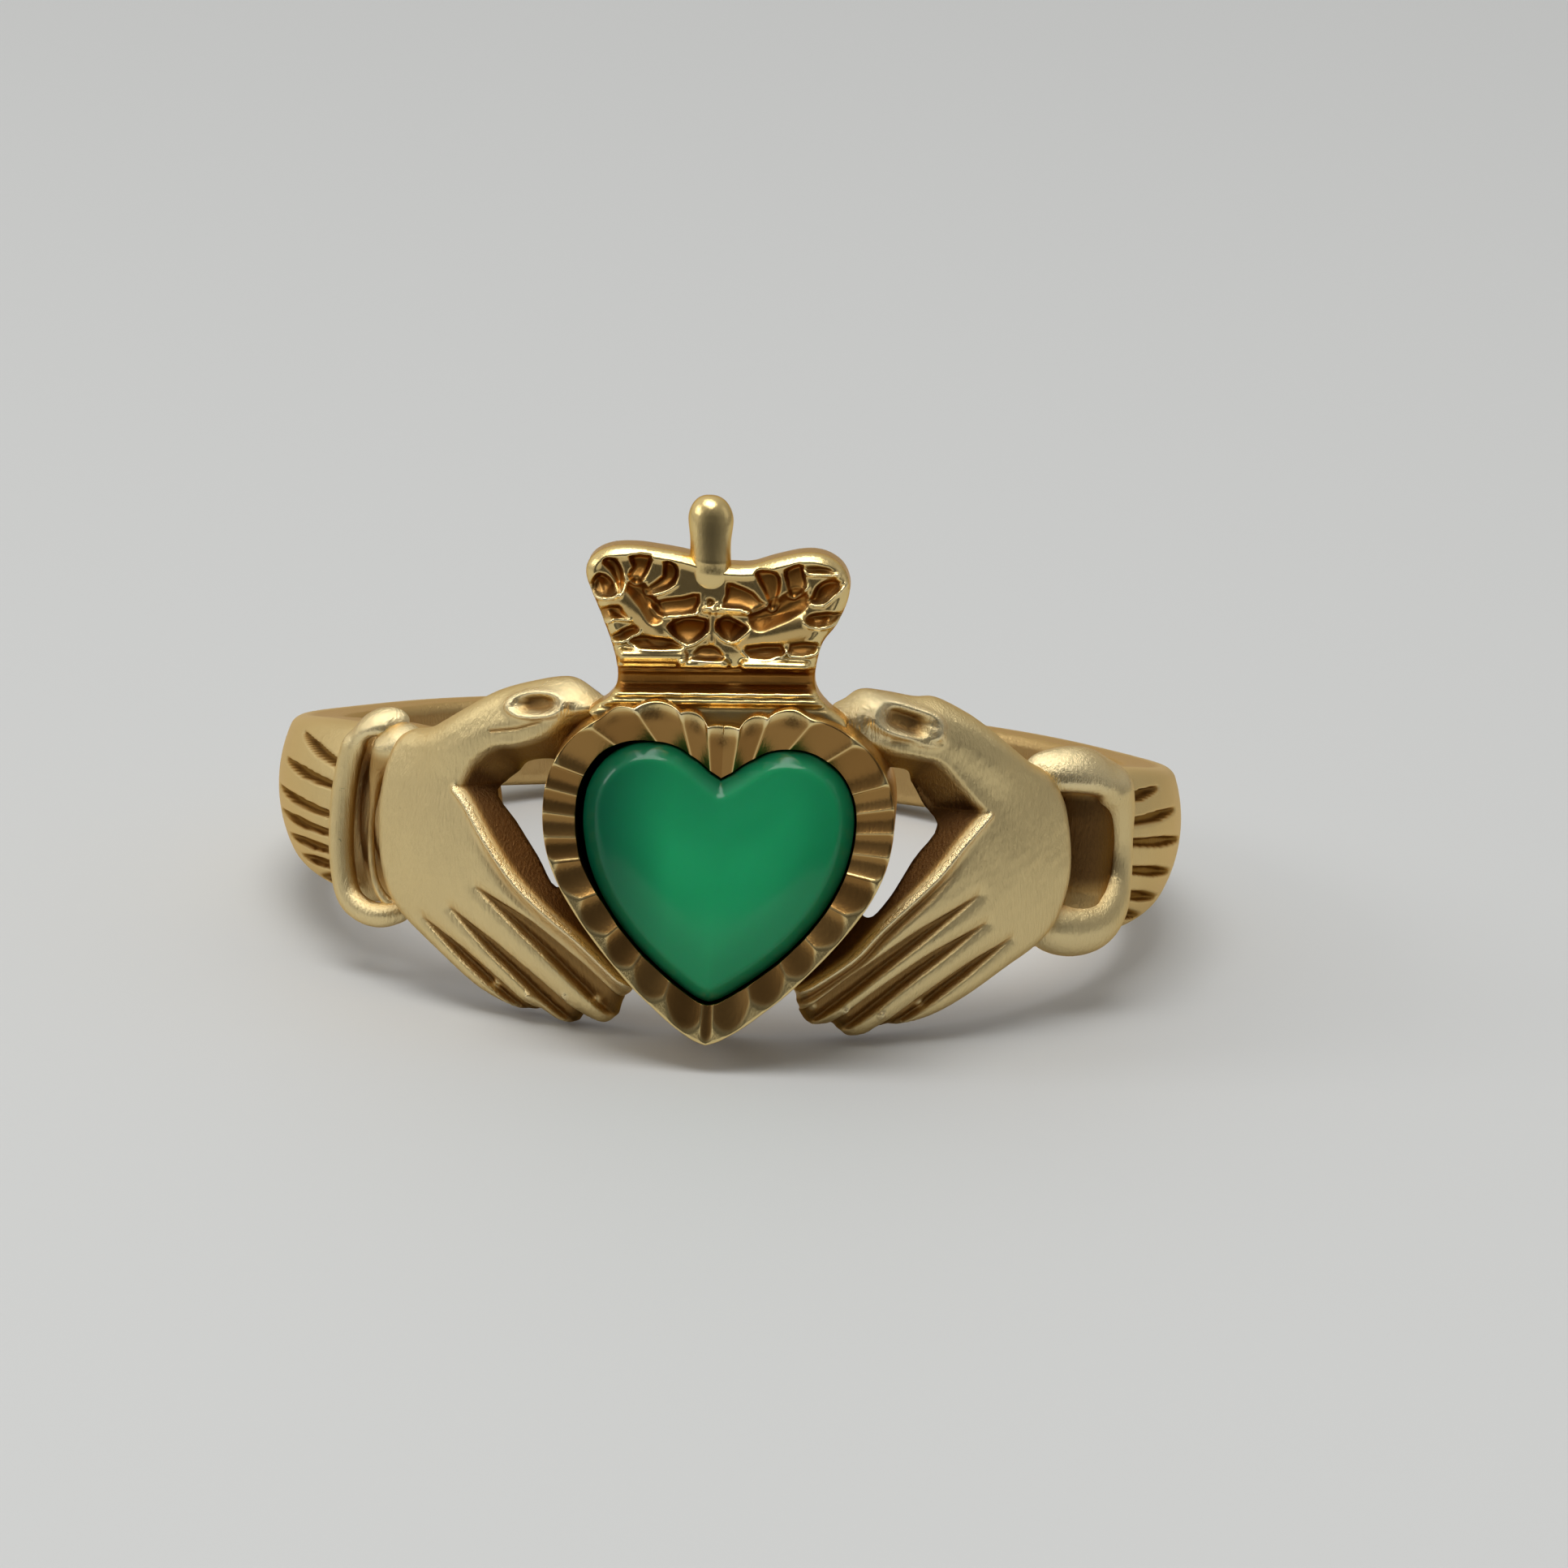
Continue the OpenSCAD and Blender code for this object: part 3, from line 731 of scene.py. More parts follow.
# Rows: degrees and height where a slot leaves the cuff, then degrees and height of its far end
left_slots = (
    (58.8, 0.91, 71.0, 1.25), (59.6, 0.46, 75.9, 0.56), (60.1, -0.18, 79.0, -0.12),
    (59.8, -0.60, 77.8, -0.63), (59.5, -0.99, 74.4, -1.09), (59.3, -1.32, 70.6, -1.46),
    (58.2, -1.59, 65.2, -1.78))
right_slots = (
    (60.0, 1.65, 65.3, 1.80), (62.1, 1.12, 72.1, 1.18), (62.9, 0.64, 78.7, 0.59),
    (62.8, 0.22, 82.6, -0.15), (62.4, -0.37, 79.2, -0.81), (61.3, -0.89, 76.6, -1.35),
    (60.3, -1.30, 71.9, -1.68))


def band_edge_heights(turn):
    """Heights of the band's top and bottom edges at an angle from the front."""
    rows = smooth_line(band_edges, steps=6)
    return np.interp(turn, rows[:, 0], rows[:, 1]), -np.interp(turn, rows[:, 0], rows[:, 2])


def band_face(turn, z, collar_end):
    """Radius of the outer face at an angle from the front and a height."""
    a = np.radians(turn)
    off = -band_centre_y
    circle = off * np.cos(a) + np.sqrt(band_outer_r ** 2 - (off * np.sin(a)) ** 2)
    dome = band_dome_r - np.sqrt(band_dome_r ** 2 - z ** 2)
    face = collar_r + (circle - collar_r) * ease(turn - collar_end, 0, collar_step)
    return face - dome


def slot_cut(turn, z, slots):
    at = np.stack([np.radians(turn) * band_outer_r, z], axis=1)
    cut = np.zeros(len(at))
    for near_turn, near_z, far_turn, far_z in slots:
        line = np.array([[math.radians(near_turn - 3) * band_outer_r, near_z],
                         [math.radians(far_turn) * band_outer_r, far_z]])
        distance, share = along(line, at)
        half = slot_w / 2 * table(((0, 0.8), (0.5, 1.25), (1, 0.5)), share)
        deep = table(((0, 0.8), (0.5, 1), (0.8, 0.9), (1, 0.2)), share)
        cut = np.maximum(cut, slot_depth * deep * (1 - ease(distance, half - 0.035, half + 0.035)))
    return cut


def build_band():
    mesh = to_mesh(ring_tube(SECTION, BAND_RINGS, True), "shank")
    level, number = ring_numbers(points_of(mesh), SECTION)
    turn = table(ring_spread, level / (BAND_RINGS - 1))
    on_left = turn > 180
    from_front = np.where(on_left, 360 - turn, turn)
    top, bottom = band_edge_heights(from_front)
    half_w, lift = (top - bottom) / 2, (top + bottom) / 2
    collar_end = np.where(on_left, collar_ends[-1], collar_ends[1])
    outer = number < OUTER_POINTS
    inner = (number >= OUTER_POINTS + WALL_POINTS) & (number < SECTION - WALL_POINTS)
    z_share = np.where(outer, 1 - 2 * number / (OUTER_POINTS - 1), -1.0)
    inner_share = (number - OUTER_POINTS - WALL_POINTS) / (INNER_POINTS - 1)
    z_share = np.where(inner, 2 * inner_share - 1, z_share)
    z_share = np.where(number >= SECTION - WALL_POINTS, 1.0, z_share)
    z = lift + half_w * z_share
    from_edge = half_w * (1 - np.abs(z_share))
    cut = np.where(on_left, slot_cut(from_front, z, left_slots), slot_cut(from_front, z, right_slots))
    face = band_face(from_front, z, collar_end) - round_edge(from_edge, band_edge_r)
    edge_face = band_face(from_front, z, collar_end) - band_edge_r
    bore_face = finger_r + round_edge(from_edge, bore_edge_r)
    edge_bore = finger_r + bore_edge_r
    wall_place = np.where(number < OUTER_POINTS + WALL_POINTS, number - OUTER_POINTS + 1,
                          SECTION - number)
    wall = edge_face + (edge_bore - edge_face) * wall_place / (WALL_POINTS + 1)
    r = np.where(outer, face - cut, np.where(inner, bore_face, wall))
    places = round_finger(np.radians(turn), r, z)
    collar = 1 - ease(from_front - collar_end, 0, collar_step)
    # Dirt and painted shade in the slots, painted shade in the collar by the cuff, and painted shade on the
    # inside and walls of the band
    recess = np.where(outer, np.clip(0.8 * ease(cut, 0, 0.07) + 0.3 * collar, 0, 1), 0.35)
    finish_piece("shank", mesh, places, recess, satin_gold)


build_band()

# %% [markdown]
# Each cuff is a roll of metal that bows round the wrist. A sphere is stretched along a path by
# reading its vertices as "how far along" and "how far round", which gives closed, rounded ends
# for free. The path is a short table of angle, height, radius from the finger and thickness.


# %% Cuffs
# Rows: degrees from the front, height, distance from the finger's axis, radius of the roll
left_cuff = (
    (47.4, 1.96, 9.30, 0.28), (49.2, 2.02, 9.72, 0.36), (51.0, 1.90, 9.93, 0.35),
    (52.6, 1.58, 10.02, 0.31), (53.7, 1.15, 10.08, 0.29), (54.5, 0.20, 10.12, 0.29),
    (54.3, -0.90, 10.12, 0.29), (53.1, -1.78, 10.04, 0.29), (50.8, -2.12, 9.90, 0.28),
    (48.0, -2.18, 9.68, 0.27), (45.8, -2.00, 9.25, 0.22))
right_cuff = (
    (44.6, 1.70, 9.15, 0.34), (46.8, 1.86, 9.58, 0.48), (50.0, 1.90, 9.84, 0.56),
    (53.2, 1.80, 9.97, 0.58), (55.5, 1.50, 10.06, 0.57), (57.2, 1.02, 10.12, 0.43),
    (58.3, 0.30, 10.14, 0.30), (58.4, -0.45, 10.14, 0.32), (57.1, -1.08, 10.08, 0.48),
    (54.9, -1.48, 9.96, 0.58), (51.8, -1.60, 9.78, 0.61), (48.6, -1.56, 9.58, 0.54),
    (46.4, -1.50, 9.20, 0.36))
# A thin moulding runs down each collar and swells at its top, in the same form
left_moulding = (
    (44.8, 1.84, 9.30, 0.34), (46.2, 1.70, 9.68, 0.50), (47.9, 1.36, 9.78, 0.42),
    (49.6, 0.90, 9.84, 0.20), (50.3, 0.30, 9.82, 0.10), (50.5, -0.30, 9.82, 0.08),
    (50.1, -0.95, 9.82, 0.08), (49.2, -1.50, 9.78, 0.09), (47.8, -1.90, 9.60, 0.12),
    (46.0, -2.00, 9.25, 0.12))
right_moulding = (
    (52.8, 2.00, 9.05, 0.40), (53.4, 1.60, 9.34, 0.78), (54.0, 1.05, 9.44, 0.88),
    (54.3, 0.50, 9.46, 0.88), (54.3, -0.20, 9.46, 0.86), (54.0, -0.80, 9.44, 0.84),
    (53.2, -1.30, 9.40, 0.80), (52.2, -1.80, 9.05, 0.45))


# The top of a roll has a worn face that leans up by some degrees and is flatter than the rest
face_lean = 38
face_flat = 0.32
roll_flat = 0.92
ROLL_SIDES = 40
ROLL_STEPS = 128


def sweep_roll(name, path, thickness, dark):
    """A rounded roll along a path of points, in ring millimetres."""
    bm = bmesh.new()
    bmesh.ops.create_uvsphere(bm, u_segments=ROLL_SIDES, v_segments=ROLL_STEPS, radius=1)
    mesh = to_mesh(bm, name)
    co = points_of(mesh)
    lengths = np.concatenate([[0], np.cumsum(np.linalg.norm(np.diff(path, axis=0), axis=1))])
    total = lengths[-1]
    place = (np.arcsin(np.clip(co[:, 2], -1, 1)) / math.pi + 0.5) * total

    def on_path(walked):
        return np.stack([np.interp(walked, lengths, path[:, k]) for k in range(3)], axis=1)

    centre = on_path(place)
    radius = np.interp(place, lengths, thickness)
    from_end = np.minimum(place, total - place)
    cap = np.sqrt(np.clip(1 - (1 - np.clip(from_end / radius, 0, 1)) ** 2, 0, 1))
    ahead = unit(on_path(place + 0.05) - on_path(place - 0.05))
    aside = unit(np.cross(ahead, unit(centre * [1, 1, 0])))
    outward = np.cross(aside, ahead)
    upper = ease(centre[:, 2], 1.35, 1.75)[:, None]
    lean = np.radians(face_lean) * upper * np.sign(aside[:, 2])[:, None]
    aside, outward = (np.cos(lean) * aside - np.sin(lean) * outward,
                      np.cos(lean) * outward + np.sin(lean) * aside)
    flatten = roll_flat - face_flat * upper
    round_angle = np.arctan2(co[:, 1], co[:, 0])
    size = (radius * cap)[:, None]
    places = (centre + size * np.cos(round_angle)[:, None] * aside
              + size * flatten * np.sin(round_angle)[:, None] * outward)
    up = places[:, 2]
    # Painted shade on the side of the roll facing the finger and, by the given strength, across the middle
    # of its height
    mid_height_shade = (1 - ease(up, 1.2, 1.5)) * (0.45 * ease(up, -1.6, -1.3) + 0.55 * ease(up, -0.9, -0.4))
    recess = np.maximum(0.5 * (1 - ease(np.sin(round_angle), -0.5, 0.4)), dark * mid_height_shade)
    # The top and bottom of the roll are polished, with a painted highlight
    recess -= 0.7 * ease(up, 1.3, 1.7) + 0.2 * ease(-up, 1.3, 1.7)
    finish_piece(name, mesh, places, recess, satin_gold)


def build_cuff(name, side, rows, dark):
    turn, z, r, thickness = smooth_line(rows, steps=8).T
    sweep_roll(name, round_finger(side * np.radians(turn), r, z), thickness, dark)


build_cuff("cuff_left", -1, left_cuff, 0.0)
build_cuff("cuff_right", 1, right_cuff, 0.0)
build_cuff("moulding_left", -1, left_moulding, 0.45)
build_cuff("moulding_right", 1, right_moulding, 0.95)

# %% [markdown]
# The hands carry most of the character. Each is one relief sheet wrapped round the finger axis.
# Its tables give a handful of lines on the back of the hand: the outline, the ridges of thumb and
# index finger with the open notch between them, the grooves between the fingers, and the nail.
# A place on the hand is written as degrees from the front of the ring and height in millimetres.

# %% Tables for the two hands
ARC = math.radians(1) * hand_back_r
left_hand = {
    "outline": (
        (45.2, 1.72), (43.3, 2.00), (39.8, 2.14), (35.1, 2.62), (30.5, 3.10), (25.0, 3.42), (21.0, 3.56),
        (18.4, 3.48), (16.0, 3.25), (13.5, 3.00), (15.0, 2.00), (16.0, 0.80), (15.0, -0.60),
        (11.0, -1.90), (9.0, -2.60), (9.8, -3.02), (11.3, -3.24), (12.3, -3.66), (13.8, -3.82),
        (15.8, -3.74), (17.0, -3.70), (18.2, -3.90), (20.0, -3.88), (22.6, -3.66), (24.6, -3.76),
        (27.2, -3.68), (31.9, -3.32), (37.4, -2.66), (42.2, -2.10), (44.8, -1.62), (46.2, -0.80),
        (46.7, 0.20), (46.4, 1.05)),
    "gap": (
        (29.8, 0.97), (28.0, 1.36), (24.9, 1.70), (21.2, 1.62), (19.2, 0.60), (18.9, -0.60),
        (20.4, -0.95), (23.6, -0.32), (26.8, 0.34)),
    "thumb_ridge": (
        (16.0, 3.02), (19.3, 2.85), (22.1, 2.40), (25.6, 2.12), (29.1, 1.98), (31.8, 1.60), (33.6, 1.02)),
    "index_ridge": (
        (33.4, 0.94), (31.7, 0.66), (28.5, -0.06), (24.4, -0.89), (19.9, -1.53), (16.0, -2.02),
        (11.7, -2.69), (9.0, -3.02)),
    "thumb_line": ((41.0, 1.20), (36.0, 1.75), (31.0, 2.40), (25.5, 2.85), (18.0, 3.15)),
    "grooves": (
        (((29.8, -1.10), (22.4, -1.92), (16.5, -2.72), (11.4, -3.50)), 0.25),
        (((33.8, -1.64), (25.5, -2.70), (17.0, -3.85)), 0.20),
        (((38.2, -1.96), (31.0, -2.82), (23.0, -3.90)), 0.17)),
    "nail": {"centre": (23.3, 2.97), "lean": -6, "half": (0.46, 0.19), "rim": 0.11, "deep": 0.16,
             "square": 2.2},
    "valley": 0.05,
    "folds": ((((29.0, 2.30), (25.5, 2.42), (22.5, 2.62)), 0.06, 0.03),),
    "tips": ((18.2, -3.28), (23.3, -3.38), (28.6, -3.22), (14.4, -3.30)),
}
right_hand = {
    "outline": (
        (46.6, 1.44), (44.2, 1.95), (41.0, 2.22), (35.0, 2.95), (32.2, 3.24), (28.1, 3.54), (24.9, 3.56),
        (21.1, 3.66), (17.7, 3.70), (15.6, 3.50), (13.5, 3.15), (15.0, 2.00), (16.0, 0.80),
        (15.0, -0.60), (11.0, -1.90), (9.0, -2.40), (10.9, -2.78), (12.0, -3.20), (13.6, -3.55),
        (15.6, -3.56), (17.2, -3.58), (18.8, -3.80), (20.6, -3.80), (22.3, -3.70), (24.4, -3.62),
        (29.1, -3.42), (33.4, -3.06), (39.2, -2.40), (43.4, -1.95), (46.3, -1.50), (47.7, -0.95),
        (48.4, -0.17), (47.8, 0.72)),
    "gap": (
        (28.9, 0.82), (27.5, 1.28), (25.6, 1.75), (23.9, 2.00), (20.5, 1.92), (19.0, 1.00),
        (18.8, -0.80), (19.6, -1.16), (22.0, -0.74), (25.4, 0.04)),
    "thumb_ridge": (
        (16.0, 2.78), (20.8, 2.50), (25.0, 2.36), (27.4, 2.26), (29.8, 1.92), (32.4, 1.44), (34.3, 1.12)),
    "index_ridge": (
        (34.0, 1.08), (30.6, 0.48), (27.2, -0.23), (20.8, -1.33), (17.4, -2.03), (12.0, -2.75), (9.5, -3.0)),
    "thumb_line": ((42.0, 1.50), (37.0, 2.10), (31.0, 2.75), (26.0, 3.05), (18.0, 3.25)),
    "grooves": (
        (((33.2, -0.65), (24.5, -1.72), (16.1, -2.93), (12.0, -3.55)), 0.20),
        (((34.7, -1.27), (26.0, -2.30), (16.5, -3.70)), 0.19),
        (((38.8, -1.63), (31.0, -2.58), (22.8, -3.75)), 0.17)),
    "nail": {"centre": (22.7, 3.08), "lean": -16, "half": (0.54, 0.24), "rim": 0.11, "deep": 0.22,
             "square": 3.5},
    "valley": 0.14,
    "folds": ((((27.0, 2.64), (21.0, 2.68)), 0.11, 0.05),),
    "tips": ((17.6, -3.22), (22.3, -3.30), (28.0, -3.05), (13.6, -3.15)),
}


# The web of either hand reaches to this line under the bezel
under_bezel = ((12.0, -1.0), (12.0, 2.0))


def on_back(points):
    """Turns (degrees, mm) into (mm along the back of the hand, mm up)."""
    return np.array(points, float) * [ARC, 1]


# %% [markdown]
# The height of the back of the hand is its domed base less what each tool took away. The web
# slopes down to the open notch, a fine bead runs along the index finger, and each finger groove is
# a wedge that widens and deepens towards the tips. Distances alone describe all of them.

# %% Relief of a hand
HAND_STEP = 0.036
web_profile = ((0.0, 0.0), (0.05, 0.04), (0.62, 0.95), (0.95, 1.08))
hand_edge_r = 0.38
groove_depth = 0.30
wall_slope = 0.3
notch_slope = 0.75
index_bead = 0.08
thumb_rise = 0.20
tip_bead_r = 0.08
tip_bead_h = 0.07
hand_wave = 0.012
fine_wave = 0.004


def nail_relief(at, nail):
    """Height of the thumb nail, a low rim round an oval hollow, with painted shade in the hollow and a
    painted highlight on its rim.
    """
    lean = math.radians(nail["lean"])
    away = at - on_back(nail["centre"])
    u = away @ [math.cos(lean), math.sin(lean)]
    v = away @ [-math.sin(lean), math.cos(lean)]
    power = nail["square"]
    q = (np.abs(u / nail["half"][0]) ** power + np.abs(v / nail["half"][1]) ** power) ** (1 / power)
    rim = nail["rim"] * np.exp(-((q - 1.4) / 0.32) ** 2)
    hollow = nail["deep"] * (1 - ease(q, 0.45, 1.05))
    return rim - hollow, hollow / nail["deep"] - rim / nail["rim"]


def hand_relief(at, hand, outline, seed):
    edge = depth_in(outline, at)
    height = -round_edge(edge, hand_edge_r)
    recess = np.zeros(len(at))

    thumb, thumb_share = along(smooth_line(on_back(hand["thumb_line"])), at)
    height += thumb_rise * (1 - ease(thumb, 0.1, 0.9)) * ease(thumb_share, 0.0, 0.4)

    ridge = smooth_line(on_back(hand["thumb_ridge"] + hand["index_ridge"]))
    web = depth_in(np.vstack([ridge, on_back(under_bezel)]), at) > 0
    from_ridge, _ = along(ridge, at)
    height -= np.where(web, table(web_profile, from_ridge), 0)
    index, index_share = along(smooth_line(on_back(hand["index_ridge"])), at)
    thumb_side = ease(index, 0.45, 0.9) * (1 - ease(from_ridge, 0.3, 0.8))
    # Painted shade on the web, a little less on the thumb side
    recess += np.where(web, (1 - 0.4 * thumb_side) * ease(from_ridge, 0.05, 0.17), 0)
    bead = np.exp(-(index / 0.09) ** 2)
    height += index_bead * bead
    # A valley beside the bead on the palm side, painted dark as its shadow
    valley = np.exp(-((index - 0.22) / 0.09) ** 2) * np.where(web, 0, 1) * ease(index_share, 0.1, 0.45)
    height -= hand["valley"] * valley
    recess += 5 * hand["valley"] * valley

    for points, half_w in hand["grooves"]:
        distance, share = along(smooth_line(on_back(points)), at)
        half = half_w * table(((0, 0.05), (0.35, 0.75), (0.7, 1), (1, 1)), share)
        deep = groove_depth * table(((0, 0.15), (0.3, 0.8), (0.6, 1), (1, 1)), share)
        cut = 1 - ease(distance, half - 0.045, half + 0.045)
        height -= deep * cut + 0.05 * np.exp(-((distance - half) / 0.14) ** 2)
        # Dirt and painted shade in the grooves
        recess += 0.7 * cut

    for points, half_w, deep in hand["folds"]:
        distance, _ = along(on_back(points), at)
        fold = 1 - ease(distance, 0, half_w)
        height -= deep * fold
        # Dirt and painted shade in the folds
        recess += 0.7 * fold

    lift, hollow = nail_relief(at, hand["nail"])
    height += lift
    # Painted shade in the nail's hollow, painted highlight on its rim
    recess += hollow
    for tip in hand["tips"]:
        nail_bead = np.exp(-(np.hypot(*(at - on_back(tip)).T) / tip_bead_r) ** 2)
        height += tip_bead_h * nail_bead
        # Each fingertip bead carries a painted glint
        recess -= nail_bead
    height += hand_wave * waviness(at, 1.1, seed) + fine_wave * waviness(at, 0.3, seed + 1)
    thumb_tip = (1 - ease(at[:, 0] / ARC, 19, 27)) * ease(at[:, 1], 2.5, 2.8)
    # The index bead and the thumb's tip are polished, with a painted highlight
    recess -= 0.9 * bead + 0.6 * thumb_tip
    return height, np.clip(recess, -1, 1)


def inset_back(at, level, depth_of, reach):
    """Moves the walls' back edges into the metal, so a wall never shows past its front edge."""
    inward = reach * (1 - level) * (1 - ease(depth_of(at), 0, 1.3))
    return at + inward[:, None] * slope_of(depth_of, at, 0.05)


def build_hand(name, side, hand, seed):
    outline = smooth_line(on_back(hand["outline"]), closed=True, steps=4)
    gap = smooth_line(on_back(hand["gap"]), closed=True, steps=4)

    def depth_of(at):
        return np.minimum(depth_in(outline, at), -depth_in(gap, at))

    mesh, at, level = relief_sheet(name, outline, depth_of, HAND_STEP)
    height, recess = hand_relief(at, hand, outline, seed)
    front = np.sqrt(hand_back_r ** 2 - at[:, 1] ** 2) + height
    at = inset_back(at, level, lambda p: depth_in(outline, p), wall_slope)
    at = inset_back(at, level, lambda p: -depth_in(gap, p), notch_slope)
    r = finger_r + (front - finger_r) * level
    places = round_finger(side * at[:, 0] / hand_back_r, r, at[:, 1])
    # The walls and the back are painted dark as shade
    recess = np.where(level > FRONT_LEVEL, recess, 0.8)
    finish_piece(name, mesh, places, recess, satin_gold)


build_hand("hand_left", -1, left_hand, 11)
build_hand("hand_right", 1, right_hand, 23)

# %% [markdown]
# The crown is a second relief sheet, flat this time and standing on the lobes of the heart.
# Punched scoops round its edge read as petals, two pairs of fans fill its middle, and its foot is
# a stack of three ridges under a deep cove. It was set a little askew, so heights along the foot
# are read in a frame that leans with it.

# %% Tables for the crown
crown_lean = 0.052
crown_outline = (
    (-2.85, 3.02), (-2.48, 3.33), (-2.30, 3.60), (-2.28, 3.95), (-2.37, 4.36), (-2.55, 4.83),
    (-2.79, 5.35), (-3.05, 5.95), (-2.97, 6.32), (-2.62, 6.55), (-2.10, 6.62), (-1.50, 6.58),
    (-0.90, 6.50), (-0.30, 6.35), (0.10, 6.33), (0.45, 6.36), (0.90, 6.52), (1.50, 6.68),
    (1.95, 6.66), (2.32, 6.45), (2.50, 6.10), (2.48, 5.72), (2.28, 5.21), (2.02, 4.83),
    (1.92, 4.42), (1.88, 3.97), (1.98, 3.68), (2.22, 3.42), (2.62, 3.10), (2.40, 2.78),
    (1.36, 3.00), (0.60, 2.86), (0.00, 2.55), (-0.60, 2.86), (-1.36, 3.00), (-2.40, 2.76))
# Rows: degrees towards which a cut is deepest, its depth, the width of its rising lip, its outline
crown_cuts = (
    (110, 0.36, 0.20, ((-2.95, 5.78), (-2.85, 5.98), (-2.65, 6.0), (-2.45, 5.85), (-2.38, 5.6),
                       (-2.5, 5.52), (-2.75, 5.5), (-2.92, 5.6))),
    (120, 0.32, 0.22, ((-2.72, 6.2), (-2.7, 6.33), (-2.55, 6.37), (-2.4, 6.3), (-2.27, 6.1),
                       (-2.23, 5.85), (-2.3, 5.58), (-2.4, 5.75), (-2.55, 6.05))),
    (80, 0.38, 0.25, ((-2.18, 6.42), (-1.7, 6.46), (-1.7, 6.2), (-1.82, 5.93), (-2.0, 5.82),
                      (-2.2, 6.0), (-2.1, 6.18))),
    (80, 0.40, 0.25, ((-1.45, 6.32), (-1.27, 6.35), (-1.1, 6.18), (-1.15, 5.88), (-1.45, 5.68),
                      (-1.75, 5.62), (-1.72, 5.8), (-1.45, 6.03))),
    (80, 0.30, 0.18, ((-0.63, 5.7), (-1.0, 5.62), (-1.62, 5.48), (-1.48, 5.2), (-1.2, 5.2),
                      (-0.7, 5.28))),
    (100, 0.24, 0.12, ((-2.73, 5.28), (-2.32, 5.38), (-2.2, 5.25), (-2.08, 5.07), (-2.4, 5.08),
                       (-2.58, 4.98), (-2.73, 5.1))),
    (120, 0.24, 0.12, ((-2.48, 4.68), (-2.25, 4.85), (-1.97, 4.96), (-1.85, 4.82), (-2.0, 4.72),
                       (-2.2, 4.6), (-2.45, 4.6))),
    (90, 0.42, 0.25, ((-1.28, 5.02), (-0.95, 5.2), (-0.6, 5.2), (-0.43, 5.15), (-0.43, 4.9),
                      (-0.6, 4.72), (-0.82, 4.6), (-1.08, 4.72), (-1.25, 4.9))),
    (90, 0.42, 0.25, ((-0.27, 5.02), (-0.2, 5.2), (0, 5.25), (0.25, 5.16), (0.45, 5.05),
                      (0.28, 4.85), (0.1, 4.72), (-0.12, 4.8))),
    (90, 0.22, 0.12, ((-0.72, 4.33), (-0.6, 4.57), (-0.4, 4.62), (-0.22, 4.6), (-0.07, 4.47),
                      (-0.1, 4.32))),
    (90, 0.18, 0.04, ((-0.46, 5.62), (-0.28, 5.54), (-0.45, 5.44))),
    (100, 0.32, 0.22, ((-0.08, 5.97), (0.2, 5.92), (0.5, 5.8), (0.65, 5.65), (0.8, 5.57),
                       (0.58, 5.42), (0.4, 5.38), (0.25, 5.44), (-0.15, 5.45), (-0.1, 5.7))),
    (90, 0.32, 0.30, ((0.48, 6.2), (0.65, 6.3), (0.88, 6.28), (1.05, 6.15), (1.07, 5.85),
                      (0.95, 5.46), (0.84, 5.48), (0.7, 5.8))),
    (110, 0.30, 0.24, ((1.1, 6.27), (1.3, 6.43), (1.5, 6.45), (1.57, 6.2), (1.62, 5.98),
                       (1.36, 5.73), (1.22, 5.83), (1.15, 6.05))),
    (135, 0.30, 0.22, ((1.8, 6.0), (2.0, 6.15), (2.25, 6.18), (2.42, 6.08), (2.2, 5.85),
                       (1.98, 5.63), (1.66, 5.66), (1.72, 5.8))),
    (90, 0.16, 0.05, ((1.58, 6.4), (2.05, 6.44), (2.25, 6.3), (1.9, 6.27), (1.62, 6.27))),
    (90, 0.26, 0.08, ((1.6, 5.32), (1.8, 5.44), (2.4, 5.5), (2.3, 5.27), (2.03, 5.16),
                      (1.72, 5.16))),
    (90, 0.22, 0.06, ((0.4, 4.67), (1.15, 4.74), (1.17, 4.48), (0.5, 4.42))),
    (90, 0.22, 0.06, ((1.32, 4.76), (1.9, 4.82), (1.87, 4.58), (1.36, 4.5))),
    (90, 0.20, 0.06, ((-1.95, 4.73), (-1.35, 4.75), (-1.1, 4.68), (-0.9, 4.55), (-1.3, 4.5),
                      (-1.75, 4.48), (-2.05, 4.58))))
# Rows: points of the line, half width, height
crown_bosses = (
    (((-2.3, 5.52), (-1.8, 5.2), (-1.4, 4.87)), 0.32, 0.14),
    (((0.35, 4.85), (0.9, 4.98), (1.5, 5.15)), 0.32, 0.14),
    (((-0.5, 5.37), (0.4, 5.37)), 0.09, 0.07), (((-0.33, 4.72), (-0.33, 5.35)), 0.09, 0.07),
    (((-2.15, 4.30), (-0.95, 4.36)), 0.18, 0.20), (((-0.92, 4.19), (-0.02, 4.24)), 0.13, 0.20),
    (((0.42, 4.24), (1.65, 4.28)), 0.16, 0.20))
# Polished hollows between the petals, in the same form, painted dark as shade
crown_hollows = (
    (((-1.98, 5.75), (-1.72, 5.45), (-1.56, 5.2)), 0.22, 0.16),
    (((0.68, 5.25), (1.13, 5.48), (1.42, 5.68)), 0.28, 0.20))
# Rows: height in the leaning frame, height of the face there
crown_foot = (
    (2.40, -0.10), (3.22, -0.10), (3.28, -0.13), (3.34, -0.10), (3.40, 0.02), (3.47, 0.02),
    (3.51, -0.06), (3.55, 0.05), (3.62, 0.05), (3.68, -0.16), (3.80, -0.30), (3.98, -0.28),
    (4.08, -0.20), (4.11, -0.24), (4.18, -0.06), (4.50, 0.0), (9.0, 0.0))

